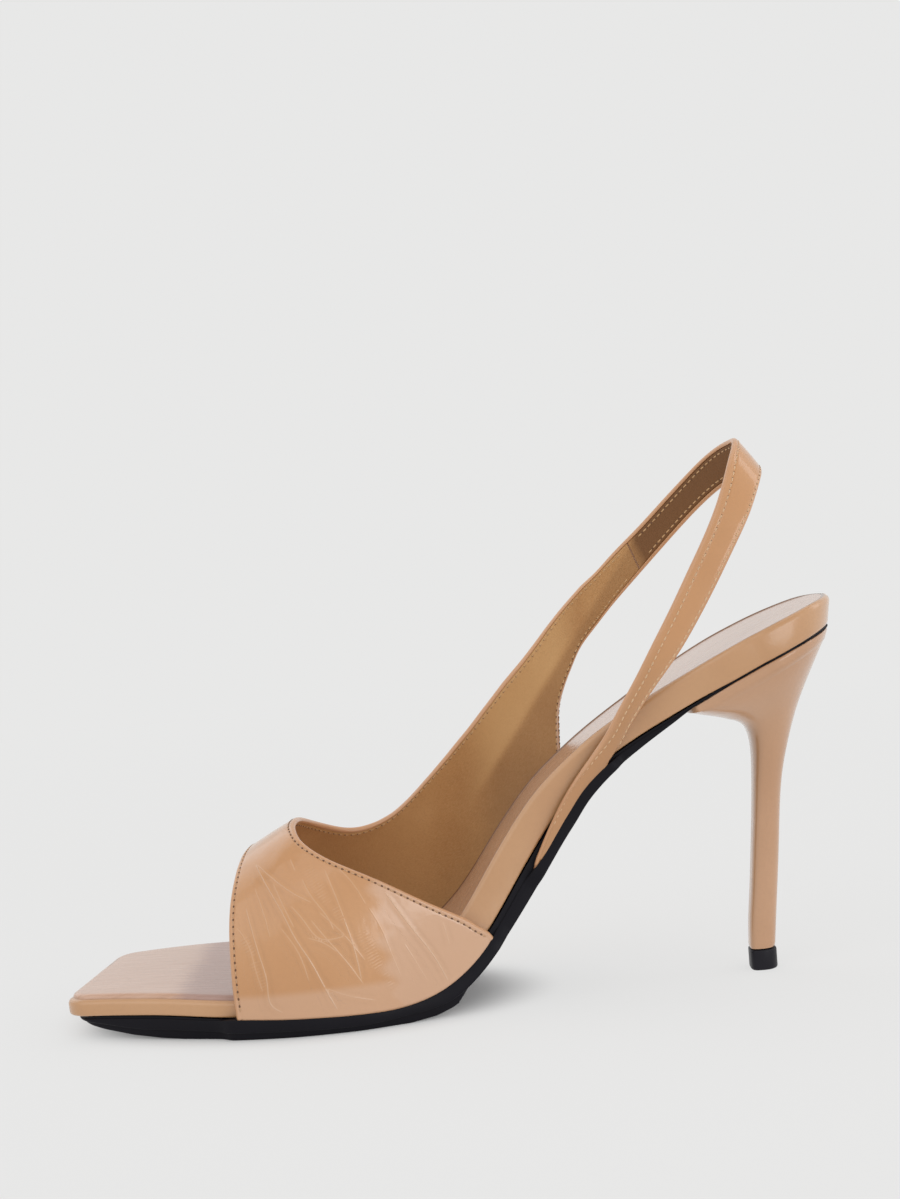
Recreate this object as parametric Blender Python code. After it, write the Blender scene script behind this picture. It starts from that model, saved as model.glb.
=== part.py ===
# Slingback sandal for the right foot on a stiletto heel.
# Sub-parts: insole board, sock lining, upper, outsole, heel, top lift.
# Frame: toe to -X, heel to +X, medial side to -Y, up +Z; origin under the middle, on the floor.
import bpy
import bmesh
import numpy as np

for _o in list(bpy.data.objects):
    bpy.data.objects.remove(_o, do_unlink=True)


# ---- driving dimensions, millimetres -------------------------------------------------
WALL = 1.8            # wall of the upper
GAP = 0.3             # clearance between neighbouring pieces
SOCK = 1.1            # thickness of the sock lining
RIM = 0.9             # width of the board's rim outside the sock lining

# station along the foot (s, from the toe tip), insole profile z, half widths to the
# medial and lateral sock edge, board thickness, outsole thickness under the board
SOLE = np.array([
    # s      z     medial lateral board  outsole
    (-4.0, 11.3,  23.4,  20.6,  4.2,  0.9),
    (0.0,  11.5,  24.0,  21.6,  4.3,  1.1),
    (6.0,  11.7,  25.2,  23.8,  4.4,  1.8),
    (22.5, 11.5,  28.6,  29.4,  4.4,  3.8),
    (45.0, 10.3,  33.0,  35.6,  4.5,  3.4),
    (62.0,  9.6,  34.6,  37.2,  4.6,  2.8),
    (76.0,  9.4,  33.4,  35.4,  4.8,  2.8),
    (88.0, 10.9,  29.6,  30.4,  5.6,  3.1),
    (98.0, 15.8,  25.0,  24.6,  7.2,  5.2),
    (108.0, 26.0, 20.6,  19.8,  8.1,  4.8),
    (118.0, 40.6, 17.0,  16.4,  8.1,  5.4),
    (130.0, 56.2, 14.3,  13.0,  7.9,  5.0),
    (138.0, 63.4, 13.4,  11.6,  7.4,  3.8),
    (145.0, 69.0, 13.0,  11.2,  7.1,  3.4),
    (155.0, 75.6, 14.0,  12.4,  7.3,  2.6),
    (165.0, 81.4, 16.8,  16.8,  7.4,  1.5),
    (171.0, 84.7, 18.4,  19.6,  7.4,  0.8),
    (185.0, 92.0, 20.9,  21.6,  7.4,  0.8),
    (196.0, 96.8, 19.9,  20.6,  7.3,  0.8),
    (205.0, 100.3, 15.4, 16.0,  7.2,  0.8),
    (210.0, 102.1, 10.2, 10.6,  7.2,  0.8),
    (213.0, 103.1, 1.2,   1.2,  7.2,  0.8),
    (217.0, 104.4, 1.2,   1.2,  7.2,  0.8),
])
HEEL_END = 213.0
SLANT = 5.0           # how much further back the lateral toe corner lies
TAIL_FROM = 193.0     # from here the tail's end turns upright
TAIL_RAKE = 0.48

# how far the upper reaches down beside the outsole, and the outsole's extra half width
# under it on either side
EDGE = np.array([
    # s     sink  medial lateral
    (0.0,   0.2,  -0.9,  -0.9),
    (30.0,  0.2,  -0.6,  -0.6),
    (41.0, -0.1,   0.2,  -0.4),
    (45.0, -0.7,   2.2,   0.0),
    (51.0, -0.9,   2.3,   0.6),
    (54.5, -0.9,   2.3,   2.3),
    (62.0, -0.9,   2.3,   2.3),
    (76.0, -0.8,   2.3,   2.3),
    (88.0,  0.1,   2.3,   2.3),
    (98.0,  1.0,   2.3,   2.3),
    (104.0, 1.2,   2.3,   2.3),
    (107.2, 1.1,   2.3,   2.3),
    (109.2, 1.0,   0.4,   2.3),
    (117.0, 1.2,   0.4,   2.3),
    (119.0, 1.6,   2.3,   2.3),
    (123.0, 2.1,   2.3,   2.3),
    (128.0, 1.7,   2.3,   2.3),
    (133.0, 0.7,   2.3,   2.3),
    (138.0, 0.2,   2.3,   0.3),
    (146.4, 0.2,   2.3,   0.2),
    (149.0, 0.2,   0.3,   0.2),
    (165.0, 0.2,   0.0,   0.0),
    (171.0, 0.2,  -0.3,  -0.3),
    (217.0, 0.2,  -0.3,  -0.3),
])


def pchip(x, y, q):
    """Shape-preserving cubic through the rows of a table."""
    x = np.asarray(x, float); y = np.asarray(y, float); q = np.asarray(q, float)
    h = np.diff(x); dl = np.diff(y) / h
    m = np.zeros_like(y)
    w1 = 2 * h[1:] + h[:-1]; w2 = h[1:] + 2 * h[:-1]
    same = dl[1:] * dl[:-1] > 0
    a = np.where(same, dl[:-1], 1.0); b = np.where(same, dl[1:], 1.0)
    m[1:-1] = np.where(same, (w1 + w2) / (w1 / a + w2 / b), 0.0)
    m[0], m[-1] = dl[0], dl[-1]
    i = np.clip(np.searchsorted(x, q) - 1, 0, len(x) - 2)
    u = (q - x[i]) / h[i]
    return ((2*u**3 - 3*u**2 + 1) * y[i] + (u**3 - 2*u**2 + u) * h[i] * m[i]
            + (-2*u**3 + 3*u**2) * y[i+1] + (u**3 - u**2) * h[i] * m[i+1])


def smooth_curve(x, y, sigma):
    """Dense samples of a table curve, softened over sigma millimetres."""
    g = np.arange(x[0], x[-1] + 1e-6, 0.25)
    v = pchip(x, y, g)
    if sigma > 0:
        n = int(4 * sigma / 0.25)
        k = np.exp(-0.5 * (np.arange(-n, n + 1) * 0.25 / sigma) ** 2); k /= k.sum()
        lo = v[0] - (v[1] - v[0]) * np.arange(n, 0, -1)
        hi = v[-1] + (v[-1] - v[-2]) * np.arange(1, n + 1)
        v = np.convolve(np.concatenate([lo, v, hi]), k, "valid")
    return g, v


_G, _Z = smooth_curve(SOLE[:, 0], SOLE[:, 1], 3.0)
_S = np.gradient(_Z, _G)
_GT, _T = smooth_curve(SOLE[:, 0], SOLE[:, 4], 2.0)
_GO, _O = smooth_curve(SOLE[:, 0], SOLE[:, 5], 1.0)


def zt(s): return np.interp(s, _G, _Z)
def slope(s): return np.interp(s, _G, _S)
def board_t(s): return np.interp(s, _GT, _T)
def outsole_t(s): return np.interp(s, _GO, _O)
def wm(s): return pchip(SOLE[:, 0], SOLE[:, 2], s)
def wl(s): return pchip(SOLE[:, 0], SOLE[:, 3], s)
def sink(s): return pchip(EDGE[:, 0], EDGE[:, 1], s)


def sheet(s, y, d):
    """A point at station s and side y, d millimetres under the insole profile; the tail stands upright."""
    s, y, d = np.broadcast_arrays(np.asarray(s, float), np.asarray(y, float), np.asarray(d, float))
    w = np.clip((s - TAIL_FROM) / (HEEL_END - TAIL_FROM), 0, 1)
    s = s - TAIL_RAKE * w * w * (3 - 2 * w) * (np.minimum(d, 7.4) - 4.5)
    k = slope(s); c = 1 / np.sqrt(1 + k * k)
    return np.stack([s + d * k * c, y, zt(s) - d * c], -1)


# the board's lower edge as a curve over x
_bs = np.linspace(-2, 213, 861)
_bb = sheet(_bs, 0, board_t(_bs))
def zbot(x): return np.interp(x, _bb[:, 0], _bb[:, 2])
def s_bot(x): return np.interp(x, _bb[:, 0], _bs)
# level of the upper's lower edge
_ub = sheet(_bs, 0, board_t(_bs) + sink(_bs))
def zbase(x): return np.interp(x, _ub[:, 0], _ub[:, 2])
# top of the outsole's flange, which the upper's lower edge stands on
def flange_d(s):
    t, o = board_t(s) + GAP, outsole_t(s)
    return np.minimum(board_t(s) + sink(s) + 0.75, t + 0.82 * o)
_fl = sheet(_bs, 0, flange_d(_bs))
def zflange(x): return np.interp(x, _fl[:, 0], _fl[:, 2])
def s_base(x): return np.interp(x, _ub[:, 0], _bs)

# foot form over the vamp and the wing: ridge height and side, and how full each side is
LAST = np.array([
    # s     ridge_z ridge_y med_up med_in lat_up lat_in
    (40.0,  38.5,  -6.0,  0.62,  0.62,  0.55,  0.55),
    (50.0,  44.0,  -6.5,  0.62,  0.62,  0.55,  0.55),
    (60.0,  49.6,  -7.0,  0.62,  0.60,  0.55,  0.52),
    (66.0,  52.6,  -7.0,  0.60,  0.56,  0.54,  0.48),
    (80.0,  61.0,  -6.0,  0.56,  0.50,  0.54,  0.42),
    (100.0, 79.0,  -4.0,  0.50,  0.44,  0.55,  0.44),
    (120.0, 101.0, -2.0,  0.50,  0.44,  0.58,  0.50),
    (140.0, 124.0,  0.0,  0.50,  0.44,  0.60,  0.60),
    (160.0, 146.0,  0.0,  0.50,  0.44,  0.60,  0.60),
])
LEAN = np.array([
    # s     medial lateral   (how far the side wall leans out over its height)
    (40.0,  1.0,   1.0),
    (66.0,  1.5,   1.5),
    (100.0, 2.0,   6.0),
    (120.0, 2.0,  12.0),
    (140.0, 2.0,  18.0),
    (160.0, 2.0,  22.0),
])


def last(s, t):
    """Foot form: station s, t from the medial base (0) over the ridge (0.5) to the lateral base (1)."""
    s = np.asarray(s, float); t = np.asarray(t, float)
    s, t = np.broadcast_arrays(s, t)
    col = lambda j: pchip(LAST[:, 0], LAST[:, j], s)
    zr, yr = col(1), col(2)
    zb = zbase(s); sb = s_base(s)
    bm = -(wm(sb) + RIM + GAP + 0.1); bl = wl(sb) + RIM + GAP + 0.1
    med = t < 0.5
    u = np.where(med, t * 2, (1 - t) * 2)
    yb = np.where(med, bm, bl)
    up = np.where(med, col(3), col(5)); inn = np.where(med, col(4), col(6))
    lean = np.where(med, -pchip(LEAN[:, 0], LEAN[:, 1], s), pchip(LEAN[:, 0], LEAN[:, 2], s))
    H = zr - zb
    y1 = yb + lean; z1 = zb + up * H
    y2 = yr + (yb + lean - yr) * inn; z2 = zr
    a, b, c, d = (1-u)**3, 3*u*(1-u)**2, 3*u*u*(1-u), u**3
    y = a*yb + b*y1 + c*y2 + d*yr
    z = a*zb + b*z1 + c*z2 + d*zr
    P = np.stack([s, y, z], -1)
    return P


def last_out(s, t, off):
    e = 1e-3
    P = last(s, t)
    ds = (last(s + e*10, t) - last(s - e*10, t)); dt = last(s, np.clip(t + e, 0, 1)) - last(s, np.clip(t - e, 0, 1))
    n = np.cross(ds, dt); n /= np.linalg.norm(n, axis=-1, keepdims=True)
    return P + n * off
# upper: rows across the ribbon, from its front or lower edge (a) to its collar or upper edge (b),
# as station and place round the foot form
VAMP = np.array([
    # k    a_s    a_t    b_s    b_t
    (0,   46.4,  0.000, 115.2, 0.000),
    (1,   46.0,  0.060, 108.4, 0.055),
    (2,   45.9,  0.125, 101.5, 0.098),
    (3,   46.0,  0.190,  90.8, 0.158),
    (4,   46.4,  0.260,  79.8, 0.223),
    (5,   47.4,  0.340,  71.2, 0.290),
    (6,   48.4,  0.420,  65.8, 0.370),
    (7,   49.4,  0.500,  64.0, 0.460),
    (8,   50.4,  0.580,  64.4, 0.550),
    (9,   51.4,  0.660,  66.8, 0.637),
    (10,  52.4,  0.745,  72.0, 0.7085),
    (11,  53.3,  0.830,  78.0, 0.749),
    (12,  54.2,  0.920,  84.2, 0.7645),
    (13,  55.0,  1.000,  89.8, 0.7685),
    (14,  64.0,  1.000,  95.0, 0.7643),
    (15,  74.5,  1.000,  99.8, 0.758),
    (16,  86.0,  1.000, 104.4, 0.755),
    (17,  97.0,  1.000, 109.0, 0.7545),
    (18, 107.0,  1.000, 114.0, 0.7575),
    (19, 116.0,  1.000, 119.2, 0.761),
    (20, 124.0,  1.000, 124.6, 0.7655),
    (21, 131.0,  1.000, 130.0, 0.7705),
    (22, 137.6,  1.000, 135.2, 0.7745),
    (23, 138.0,  0.955, 139.0, 0.7770),
    (24, 139.0,  0.912, 142.4, 0.7785),
    (25, 142.2,  0.889, 146.0, 0.7795),
    (26, 146.7,  0.869, 149.6, 0.7810),
])
# sling: rows after the wing, lower edge (a) and upper edge (b)
SLING = np.array([
    # a_x     a_y    a_z     b_x     b_y    b_z
    (151.8,  22.3,  97.0,  153.1,  22.3, 113.1),
    (156.9,  22.7, 102.6,  156.5,  22.5, 116.3),
    (162.2,  22.8, 108.0,  159.9,  22.6, 119.5),
    (172.1,  21.8, 117.9,  166.9,  21.9, 125.8),
    (179.9,  19.8, 125.7,  174.1,  20.2, 132.8),
    (185.5,  16.8, 131.1,  180.3,  17.6, 138.9),
    (190.1,  13.0, 134.9,  185.0,  14.0, 143.4),
    (194.0,   8.4, 137.2,  188.7,   9.2, 146.3),
    (196.8,   3.0, 138.2,  191.0,   3.4, 147.6),
    (198.0,  -2.6, 138.3,  191.3,  -2.6, 147.6),
    (197.6,  -8.0, 137.2,  190.5,  -7.6, 145.8),
    (196.4, -12.2, 134.7,  188.9, -11.6, 142.3),
    (194.5, -15.6, 130.6,  186.8, -14.9, 137.0),
    (192.1, -18.6, 126.0,  184.2, -17.8, 130.8),
    (188.1, -20.4, 119.2,  180.4, -19.6, 123.2),
    (182.6, -21.6, 110.0,  175.0, -21.0, 113.8),
    (176.8, -22.0, 100.7,  169.4, -21.6, 104.0),
    (170.7, -21.6,  91.8,  163.9, -21.4,  94.8),
    (164.0, -20.2,  83.4,  158.4, -20.2,  85.4),
    (158.6, -18.4,  76.2,  153.4, -18.8,  77.4),
    (155.4, -16.2,  71.6,  148.8, -17.0,  70.0),
    (152.6, -14.9,  67.6,  139.6, -15.9,  58.0),
])
SLING_END = (149.6, 127.6)     # stations of the sling's foot on the medial waist


def spline(x, Y, q):
    """Natural cubic through rows Y at x, sampled at q."""
    n = len(x); h = np.diff(x)
    A = np.zeros((n, n)); R = np.zeros((n,) + Y.shape[1:])
    A[0, 0] = A[-1, -1] = 1
    sh = (-1,) + (1,) * (Y.ndim - 1)
    for i in range(1, n - 1):
        A[i, i-1], A[i, i], A[i, i+1] = h[i-1], 2 * (h[i-1] + h[i]), h[i]
        R[i] = 6 * ((Y[i+1] - Y[i]) / h[i] - (Y[i] - Y[i-1]) / h[i-1])
    M = np.linalg.solve(A, R.reshape(n, -1)).reshape(R.shape)
    i = np.clip(np.searchsorted(x, q) - 1, 0, n - 2)
    hh = h[i].reshape(sh); a = (x[i+1] - q).reshape(sh) / hh; b = (q - x[i]).reshape(sh) / hh
    return a * Y[i] + b * Y[i+1] + ((a**3 - a) * M[i] + (b**3 - b) * M[i+1]) * hh**2 / 6


def base_pt(x, side):
    sb = s_base(x)
    w = np.where(side < 0, -(wm(sb) + RIM + GAP + 0.1), wl(sb) + RIM + GAP + 0.1)
    return np.stack([np.asarray(x, float), w, zbase(x)], -1)


def ribbon_rows(m):
    """Control rows of the upper at column fractions m; returns rows and the row labels."""
    rows, lab = [], []
    ks = np.arange(0, 26.01, 0.5)
    cols = [pchip(VAMP[:, 0], VAMP[:, j], ks) for j in range(1, 5)]
    for k, sa, ta, sb, tb in zip(ks, *cols):
        rows.append(last(sa + (sb - sa) * m, ta + (tb - ta) * m)); lab.append(k)
    for i, r in enumerate(SLING):
        a, b = r[:3], r[3:]
        P = a + (b - a) * m[:, None]
        rows.append(P); lab.append(27 + i)
    xe = SLING_END[0] + (SLING_END[1] - SLING_END[0]) * m
    rows.append(base_pt(xe, -1)); lab.append(27 + len(SLING))
    return np.array(rows), np.array(lab, float)


def ribbon(m, per_row):
    """Inner surface of the upper: control rows joined by a smooth curve per column."""
    rows, lab = ribbon_rows(m)
    step = np.linalg.norm(np.diff(rows, axis=0), axis=2)
    d = np.concatenate([[0], np.cumsum(0.5 * step.mean(1) + 0.5 * step.max(1))])
    q = []
    for i in range(len(lab) - 1):
        n = max(1, int(round(per_row * (lab[i+1] - lab[i]))))
        q += list(np.linspace(d[i], d[i+1], n, endpoint=False))
    q.append(d[-1]); q = np.array(q)
    return spline(d, rows, q), np.interp(q, d, lab)


def normals(G):
    dk = np.gradient(G, axis=0); dm = np.gradient(G, axis=1)
    n = np.cross(dm, dk)
    return n / np.linalg.norm(n, axis=2, keepdims=True)


def upper_sheets(m, per_row, wall=WALL):
    """Inner and outer surface of the upper, its lower edges set just above the flange."""
    G, lab = ribbon(m, per_row)
    O = G + normals(G) * wall
    for A in (G, O):
        A[0, :, 2] = zflange(A[0, :, 0]) + 0.5
        A[-1, :, 2] = zflange(A[-1, :, 0]) + 0.5
        e = lab > 46
        A[e, :, 2] = np.maximum(A[e, :, 2], zflange(A[e, :, 0]) + 0.5)
        k = (lab >= 12.99) & (lab <= 22.01)
        A[k, 0, 2] = zflange(A[k, 0, 0]) + 0.5
    return G, O, lab


# whole-shoe shift that puts the origin under the middle of the bounding box
SHIFT = np.array([-107.526, -1.301, 0.0])


def make(name, verts, faces, color, rough, metal=0.0, coat=0.0):
    me = bpy.data.meshes.new(name)
    me.from_pydata([tuple(v) for v in (np.asarray(verts) + SHIFT) * 0.001], [], faces)
    me.update()
    bm = bmesh.new()
    bm.from_mesh(me)
    bmesh.ops.remove_doubles(bm, verts=bm.verts, dist=1e-6)
    bmesh.ops.dissolve_degenerate(bm, dist=1e-7, edges=bm.edges)
    bmesh.ops.triangulate(bm, faces=bm.faces)
    bmesh.ops.recalc_face_normals(bm, faces=bm.faces)
    bm.to_mesh(me)
    bm.free()
    ob = bpy.data.objects.new(name, me)
    bpy.context.scene.collection.objects.link(ob)
    mat = bpy.data.materials.new(name + "_mat")
    mat.use_nodes = True
    p = mat.node_tree.nodes["Principled BSDF"]
    p.inputs["Base Color"].default_value = (*color, 1.0)
    p.inputs["Roughness"].default_value = rough
    p.inputs["Metallic"].default_value = metal
    p.inputs["Coat Weight"].default_value = coat
    me.materials.append(mat)
    return ob


def loft(name, loops, **kw):
    """One closed body from closed cross-section loops of equal length."""
    loops = np.asarray(loops)
    R, C = loops.shape[:2]
    verts = loops.reshape(-1, 3)
    faces = []
    for i in range(R - 1):
        for j in range(C):
            k = (j + 1) % C
            faces.append((i * C + j, i * C + k, (i + 1) * C + k, (i + 1) * C + j))
    faces.append(tuple(range(C)))
    faces.append(tuple(reversed(range((R - 1) * C, R * C))))
    return make(name, verts, faces, **kw)


# ---- bodies that follow the sole ----------------------------------------------------------
def stations(first, last_s, step):
    """Stations close together at both rounded ends."""
    head = first + np.array([0.0, 0.25, 0.8, 1.8, 3.2, 5.0, 7.0, 10.0])
    tail = last_s - np.array([10.5, 8.0, 5.6, 3.6, 2.0, 0.9, 0.3, 0.0])
    n = int(round((tail[0] - head[-1]) / step))
    mid = np.linspace(head[-1], tail[0], n + 1)[1:-1]
    return np.concatenate([head, mid, tail])


def outline(s, out_m, out_l, toe=0.0, heel=0.0):
    """Medial and lateral points (station, side) of the plan outline, grown by out and toe/heel."""
    s = np.asarray(s, float)
    u = np.clip(s / 40.0, 0, 1)
    sl = s + SLANT * (1 - u) ** 1.6
    # rounded toe corners
    q = np.clip(1 - s / 5.0, 0, 1)
    ym = wm(s) - 5.0 * (1 - np.sqrt(1 - q ** 2))
    ql = np.clip(1 - s / 7.0, 0, 1)
    yl = wl(sl) - 6.5 * (1 - np.sqrt(1 - ql ** 2))
    e = np.clip((HEEL_END - s) / 21.0, 0, 1)          # rounded heel
    end = np.sqrt(np.clip(1 - (1 - e) ** 2, 0, 1))
    r = np.where(s > HEEL_END - 21.0, 1.0, 0.0)
    ym = np.where(r > 0, 20.7 * end, ym)
    yl = np.where(r > 0, 21.3 * end, yl)
    h = np.clip((s - (HEEL_END - 21)) / 21.0, 0, 1)
    sm2 = s - toe * (1 - u) ** 2 + heel * h ** 2
    sl2 = sl - toe * (1 - u) ** 2 + heel * h ** 2
    om = np.broadcast_to(out_m, s.shape) * np.where(r > 0, end, 1.0)
    ol = np.broadcast_to(out_l, s.shape) * np.where(r > 0, end, 1.0)
    return sm2, -(ym + om) - 0.02, sl2, yl + ol + 0.02


def plate(s, om, ol, toe, heel, top, bottom, ncol, r_top, r_bot, pillow=0.0):
    """Section loops of a plate between depths top and bottom under the insole profile."""
    sm, ym, sl, yl = outline(s, om, ol, toe, heel)
    loops = []
    t = np.linspace(0, 1, ncol)
    for i in range(len(s)):
        a, b = top[i], bottom[i]
        pr = pillow * max(0.0, 1 - i / 2.0) ** 2
        pe = pillow * max(0.0, 1 - (len(s) - 1 - i) / 2.0) ** 2
        a, b = a + pr + pe, b - 0.5 * (pr + pe)
        rt, rb = min(r_top, 0.45 * (b - a)), min(r_bot, 0.45 * (b - a))
        wid = yl[i] - ym[i]
        pts = []

        def add(f, inset, d):
            y = ym[i] + wid * f
            inset = min(inset, 0.3 * wid)
            pts.append((sm[i] + (sl[i] - sm[i]) * f, y + inset if f < 0.5 else y - inset, d))

        def across(fs, inset, d):
            for f in fs:
                y = ym[i] + inset + (wid - 2 * inset) * f
                pts.append((sm[i] + (sl[i] - sm[i]) * (y - ym[i]) / wid, y, d))
        across(t, min(rt, 0.3 * wid), a)
        if r_top:
            add(1.0, 0.29 * rt, a + 0.29 * rt)
            add(1.0, 0.0, a + rt)
        add(1.0, 0.0, b - rb)
        if r_bot:
            add(1.0, 0.29 * rb, b - 0.29 * rb)
        across(t[::-1], min(rb, 0.3 * wid), b)
        if r_bot:
            add(0.0, 0.29 * rb, b - 0.29 * rb)
        add(0.0, 0.0, b - rb)
        if r_top:
            add(0.0, 0.0, a + rt)
            add(0.0, 0.29 * rt, a + 0.29 * rt)
        P = np.array(pts)
        loops.append(sheet(P[:, 0], P[:, 1], P[:, 2]))
    return loops


TAN = (0.60, 0.36, 0.19)
BLACK = (0.012, 0.012, 0.014)

S = stations(0.0, HEEL_END, 4.6)
T = board_t(S)
one = np.ones_like(S)
plate_board = plate(S, RIM * one, RIM * one, RIM, RIM, 0 * S, T, 6, 1.6, 0.8, pillow=1.0)
loft("insole_board", plate_board, color=TAN, rough=0.32, coat=0.4)

Ss = stations(0.0, HEEL_END, 5.2)
plate_sock = plate(Ss, -0.9 + 0 * Ss, -0.9 + 0 * Ss, -0.9, -0.9, -GAP - SOCK + 0 * Ss, -GAP + 0 * Ss, 6, 0.5, 0.0)
loft("sock_lining", plate_sock, color=(0.62, 0.40, 0.30), rough=0.35, coat=0.3)

# outsole: core under the board, flange under the upper, tread block under the forepart
# underside of the tread block along x (stations)
UNDER = np.array([
    # x    z
    (3.0, 5.0), (9.0, 3.1), (17.0, 1.4), (25.0, 0.4), (31.0, 0.06), (35.0, 0.0),
    (92.0, 0.0), (99.0, 0.9), (103.8, 2.6), (106.6, 4.4),
])
BLOCK_IN = 1.2        # how far the tread block stands in from the flange
BLOCK_END = 106.6     # rear step of the tread block


def outsole_loops(S, ncol=6):
    To, Oo = board_t(S), outsole_t(S)
    fm, fl = pchip(EDGE[:, 0], EDGE[:, 2], S), pchip(EDGE[:, 0], EDGE[:, 3], S)
    sm, ym, sl, yl = outline(S, RIM + fm, RIM + fl, -1.6, RIM - 0.3)
    f = np.linspace(0, 1, ncol)
    loops = []
    for i in range(len(S)):
        wid = yl[i] - ym[i]
        km, kl = (min(max(v, 0.25), 0.2 * wid) for v in (fm[i], fl[i]))
        bi = min(BLOCK_IN, 0.2 * wid)
        a = To[i] + GAP
        b = a + Oo[i]
        c = flange_d(S[i:i+1])[0]

        def P(y, d):
            return sheet(sm[i] + (sl[i] - sm[i]) * (y - ym[i]) / wid, y, d)

        def low(y, r):
            p = P(y, b)
            h = p[2] - np.interp(p[0], UNDER[:, 0], UNDER[:, 1]) if p[0] < BLOCK_END else 0.12
            h = max(h, 0.12)
            return np.array([p[0], y, p[2] - h + min(r, 0.4 * h)])
        e = min(0.4, 0.3 * (b - c), 0.1 * wid)
        r = min(0.35, 0.1 * wid)
        pts = [P(y, a) for y in ym[i] + km + (wid - km - kl) * f]
        pts += [P(yl[i] - kl, c), P(yl[i], c), P(yl[i], b - e), P(yl[i] - e, b), P(yl[i] - bi, b)]
        pts += [low(yl[i] - bi, r)]
        pts += [low(y, 0.0) for y in ym[i] + bi + r + (wid - 2 * bi - 2 * r) * f[::-1]]
        pts += [low(ym[i] + bi, r)]
        pts += [P(ym[i] + bi, b), P(ym[i] + e, b), P(ym[i], b - e), P(ym[i], c), P(ym[i] + km, c)]
        loops.append(np.array(pts))
    return loops


So = np.sort(np.concatenate([stations(0.0, HEEL_END, 4.6), [43.0, 45.0, 52.0, 54.0, 98.4, 99.2, 100.4, 107.4, 109.0, 117.2, 119.0, 134.5, 137.5, 146.6, 148.8]]))
loft("outsole", outsole_loops(So), color=BLACK, rough=0.45)

# ---- upper ------------------------------------------------------------------------------
m = np.linspace(0, 1, 9)
G, OUT, _lab = upper_sheets(m, 2)
loops = []
for i in range(len(G)):
    inner, outer = G[i], OUT[i]
    loops.append(np.concatenate([inner, outer[::-1]]))
loft("upper", loops, color=TAN, rough=0.3, coat=0.5)

# ---- heel and its top lift ---------------------------------------------------------------
HEEL = np.array([
    # front_x front_z back_x back_z half_w widest front_exp
    (186.9,   6.0,   194.2,   6.0,   4.0,  0.42, 3.6),
    (187.4,  14.0,   195.1,  14.4,   4.0,  0.42, 3.6),
    (188.3,  22.0,   196.0,  22.6,   4.1,  0.42, 3.6),
    (189.4,  33.0,   197.2,  34.0,   4.3,  0.42, 3.6),
    (190.5,  45.0,   198.4,  46.4,   4.7,  0.42, 3.4),
    (191.1,  53.5,   199.8,  55.6,   5.3,  0.42, 3.2),
    (191.4,  60.0,   201.6,  62.8,   6.4,  0.42, 3.0),
    (191.0,  65.2,   203.6,  69.4,   8.2,  0.42, 2.9),
    (189.6,  68.6,   205.6,  74.8,  10.4,  0.42, 2.9),
    (187.0,  70.4,   207.8,  79.8,  12.8,  0.43, 3.0),
    (183.2,  71.5,   210.0,  84.4,  15.4,  0.44, 3.2),
    (178.2,  72.2,   212.0,  88.4,  17.8,  0.45, 3.6),
    (173.4,  72.9,   213.6,  91.6,  19.6,  0.46, 4.2),
])


def ring(row, n=28):
    fx, fz, bx, bz, w, c, ex = row
    phi = np.linspace(0, 2 * np.pi, n, endpoint=False)
    ca, sa = np.cos(phi), np.sin(phi)
    back = ca >= 0
    u = np.where(back, c + (1 - c) * np.abs(ca) ** 1.0, c - c * np.abs(ca) ** (2 / ex))
    v = np.where(back, np.sign(sa) * np.abs(sa) ** 1.0, np.sign(sa) * np.abs(sa) ** (2 / ex))
    return np.stack([fx + (bx - fx) * u, w * v, fz + (bz - fz) * u], -1)


hq = np.linspace(0, len(HEEL) - 1, 25)
rows = spline(np.arange(len(HEEL), dtype=float), HEEL, hq)
loops = [ring(r) for r in rows]
# seat: the outline of the sole's tail, held just under it
SEAT_FROM = 170.6
seat = []
nn = 28
phi = np.linspace(0, 2 * np.pi, nn, endpoint=False)
for lift, shrink, tail in ((2.2, 0.5, 1.3), (0.0, 0.45, -0.5)):
    c = 0.46
    ca, sa = np.cos(phi), np.sin(phi)
    back = ca >= 0
    u = np.where(back, c + (1 - c) * np.abs(ca), c - c * np.abs(ca) ** (2 / 5.0))
    v = np.where(back, np.sign(sa) * np.abs(sa), np.sign(sa) * np.abs(sa) ** (2 / 5.0))
    ss = SEAT_FROM + (HEEL_END - tail - SEAT_FROM) * u
    edge = outline(np.clip(ss, 0, HEEL_END), 0, 0)
    lim = np.where(v < 0, -edge[1], edge[3]) + RIM - shrink
    y = np.sign(v) * np.minimum(np.abs(v) * 21.6, np.maximum(lim, 0.0))
    seat.append(sheet(ss, y, board_t(ss) + GAP + outsole_t(ss) + GAP + 0.1 + lift))
loops += seat
loft("heel", loops, color=TAN, rough=0.3, coat=0.5)

lift_rows = [(187.2, 0.0, 194.3, 0.0, 3.85, 0.42, 3.6), (186.8, 0.5, 194.5, 0.5, 4.15, 0.42, 3.6),
             (186.8, 5.3, 194.5, 5.3, 4.15, 0.42, 3.6), (187.0, 5.7, 194.3, 5.7, 3.95, 0.42, 3.6)]
loft("top_lift", [ring(r) for r in lift_rows], color=BLACK, rough=0.5)

lo = np.array([1e9] * 3); hi = -lo
for o in bpy.data.objects:
    co = np.array([v.co[:] for v in o.data.vertices])
    lo, hi = np.minimum(lo, co.min(0)), np.maximum(hi, co.max(0))
    print(o.name, len(o.data.polygons), np.round(co.min(0) * 1000, 2), np.round(co.max(0) * 1000, 2))
print("box", np.round(lo * 1000, 3), np.round(hi * 1000, 3), "middle", np.round((lo + hi) * 500, 3))
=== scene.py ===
import math
import bpy
import bmesh
import numpy as np
from mathutils import Matrix, Vector


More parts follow.
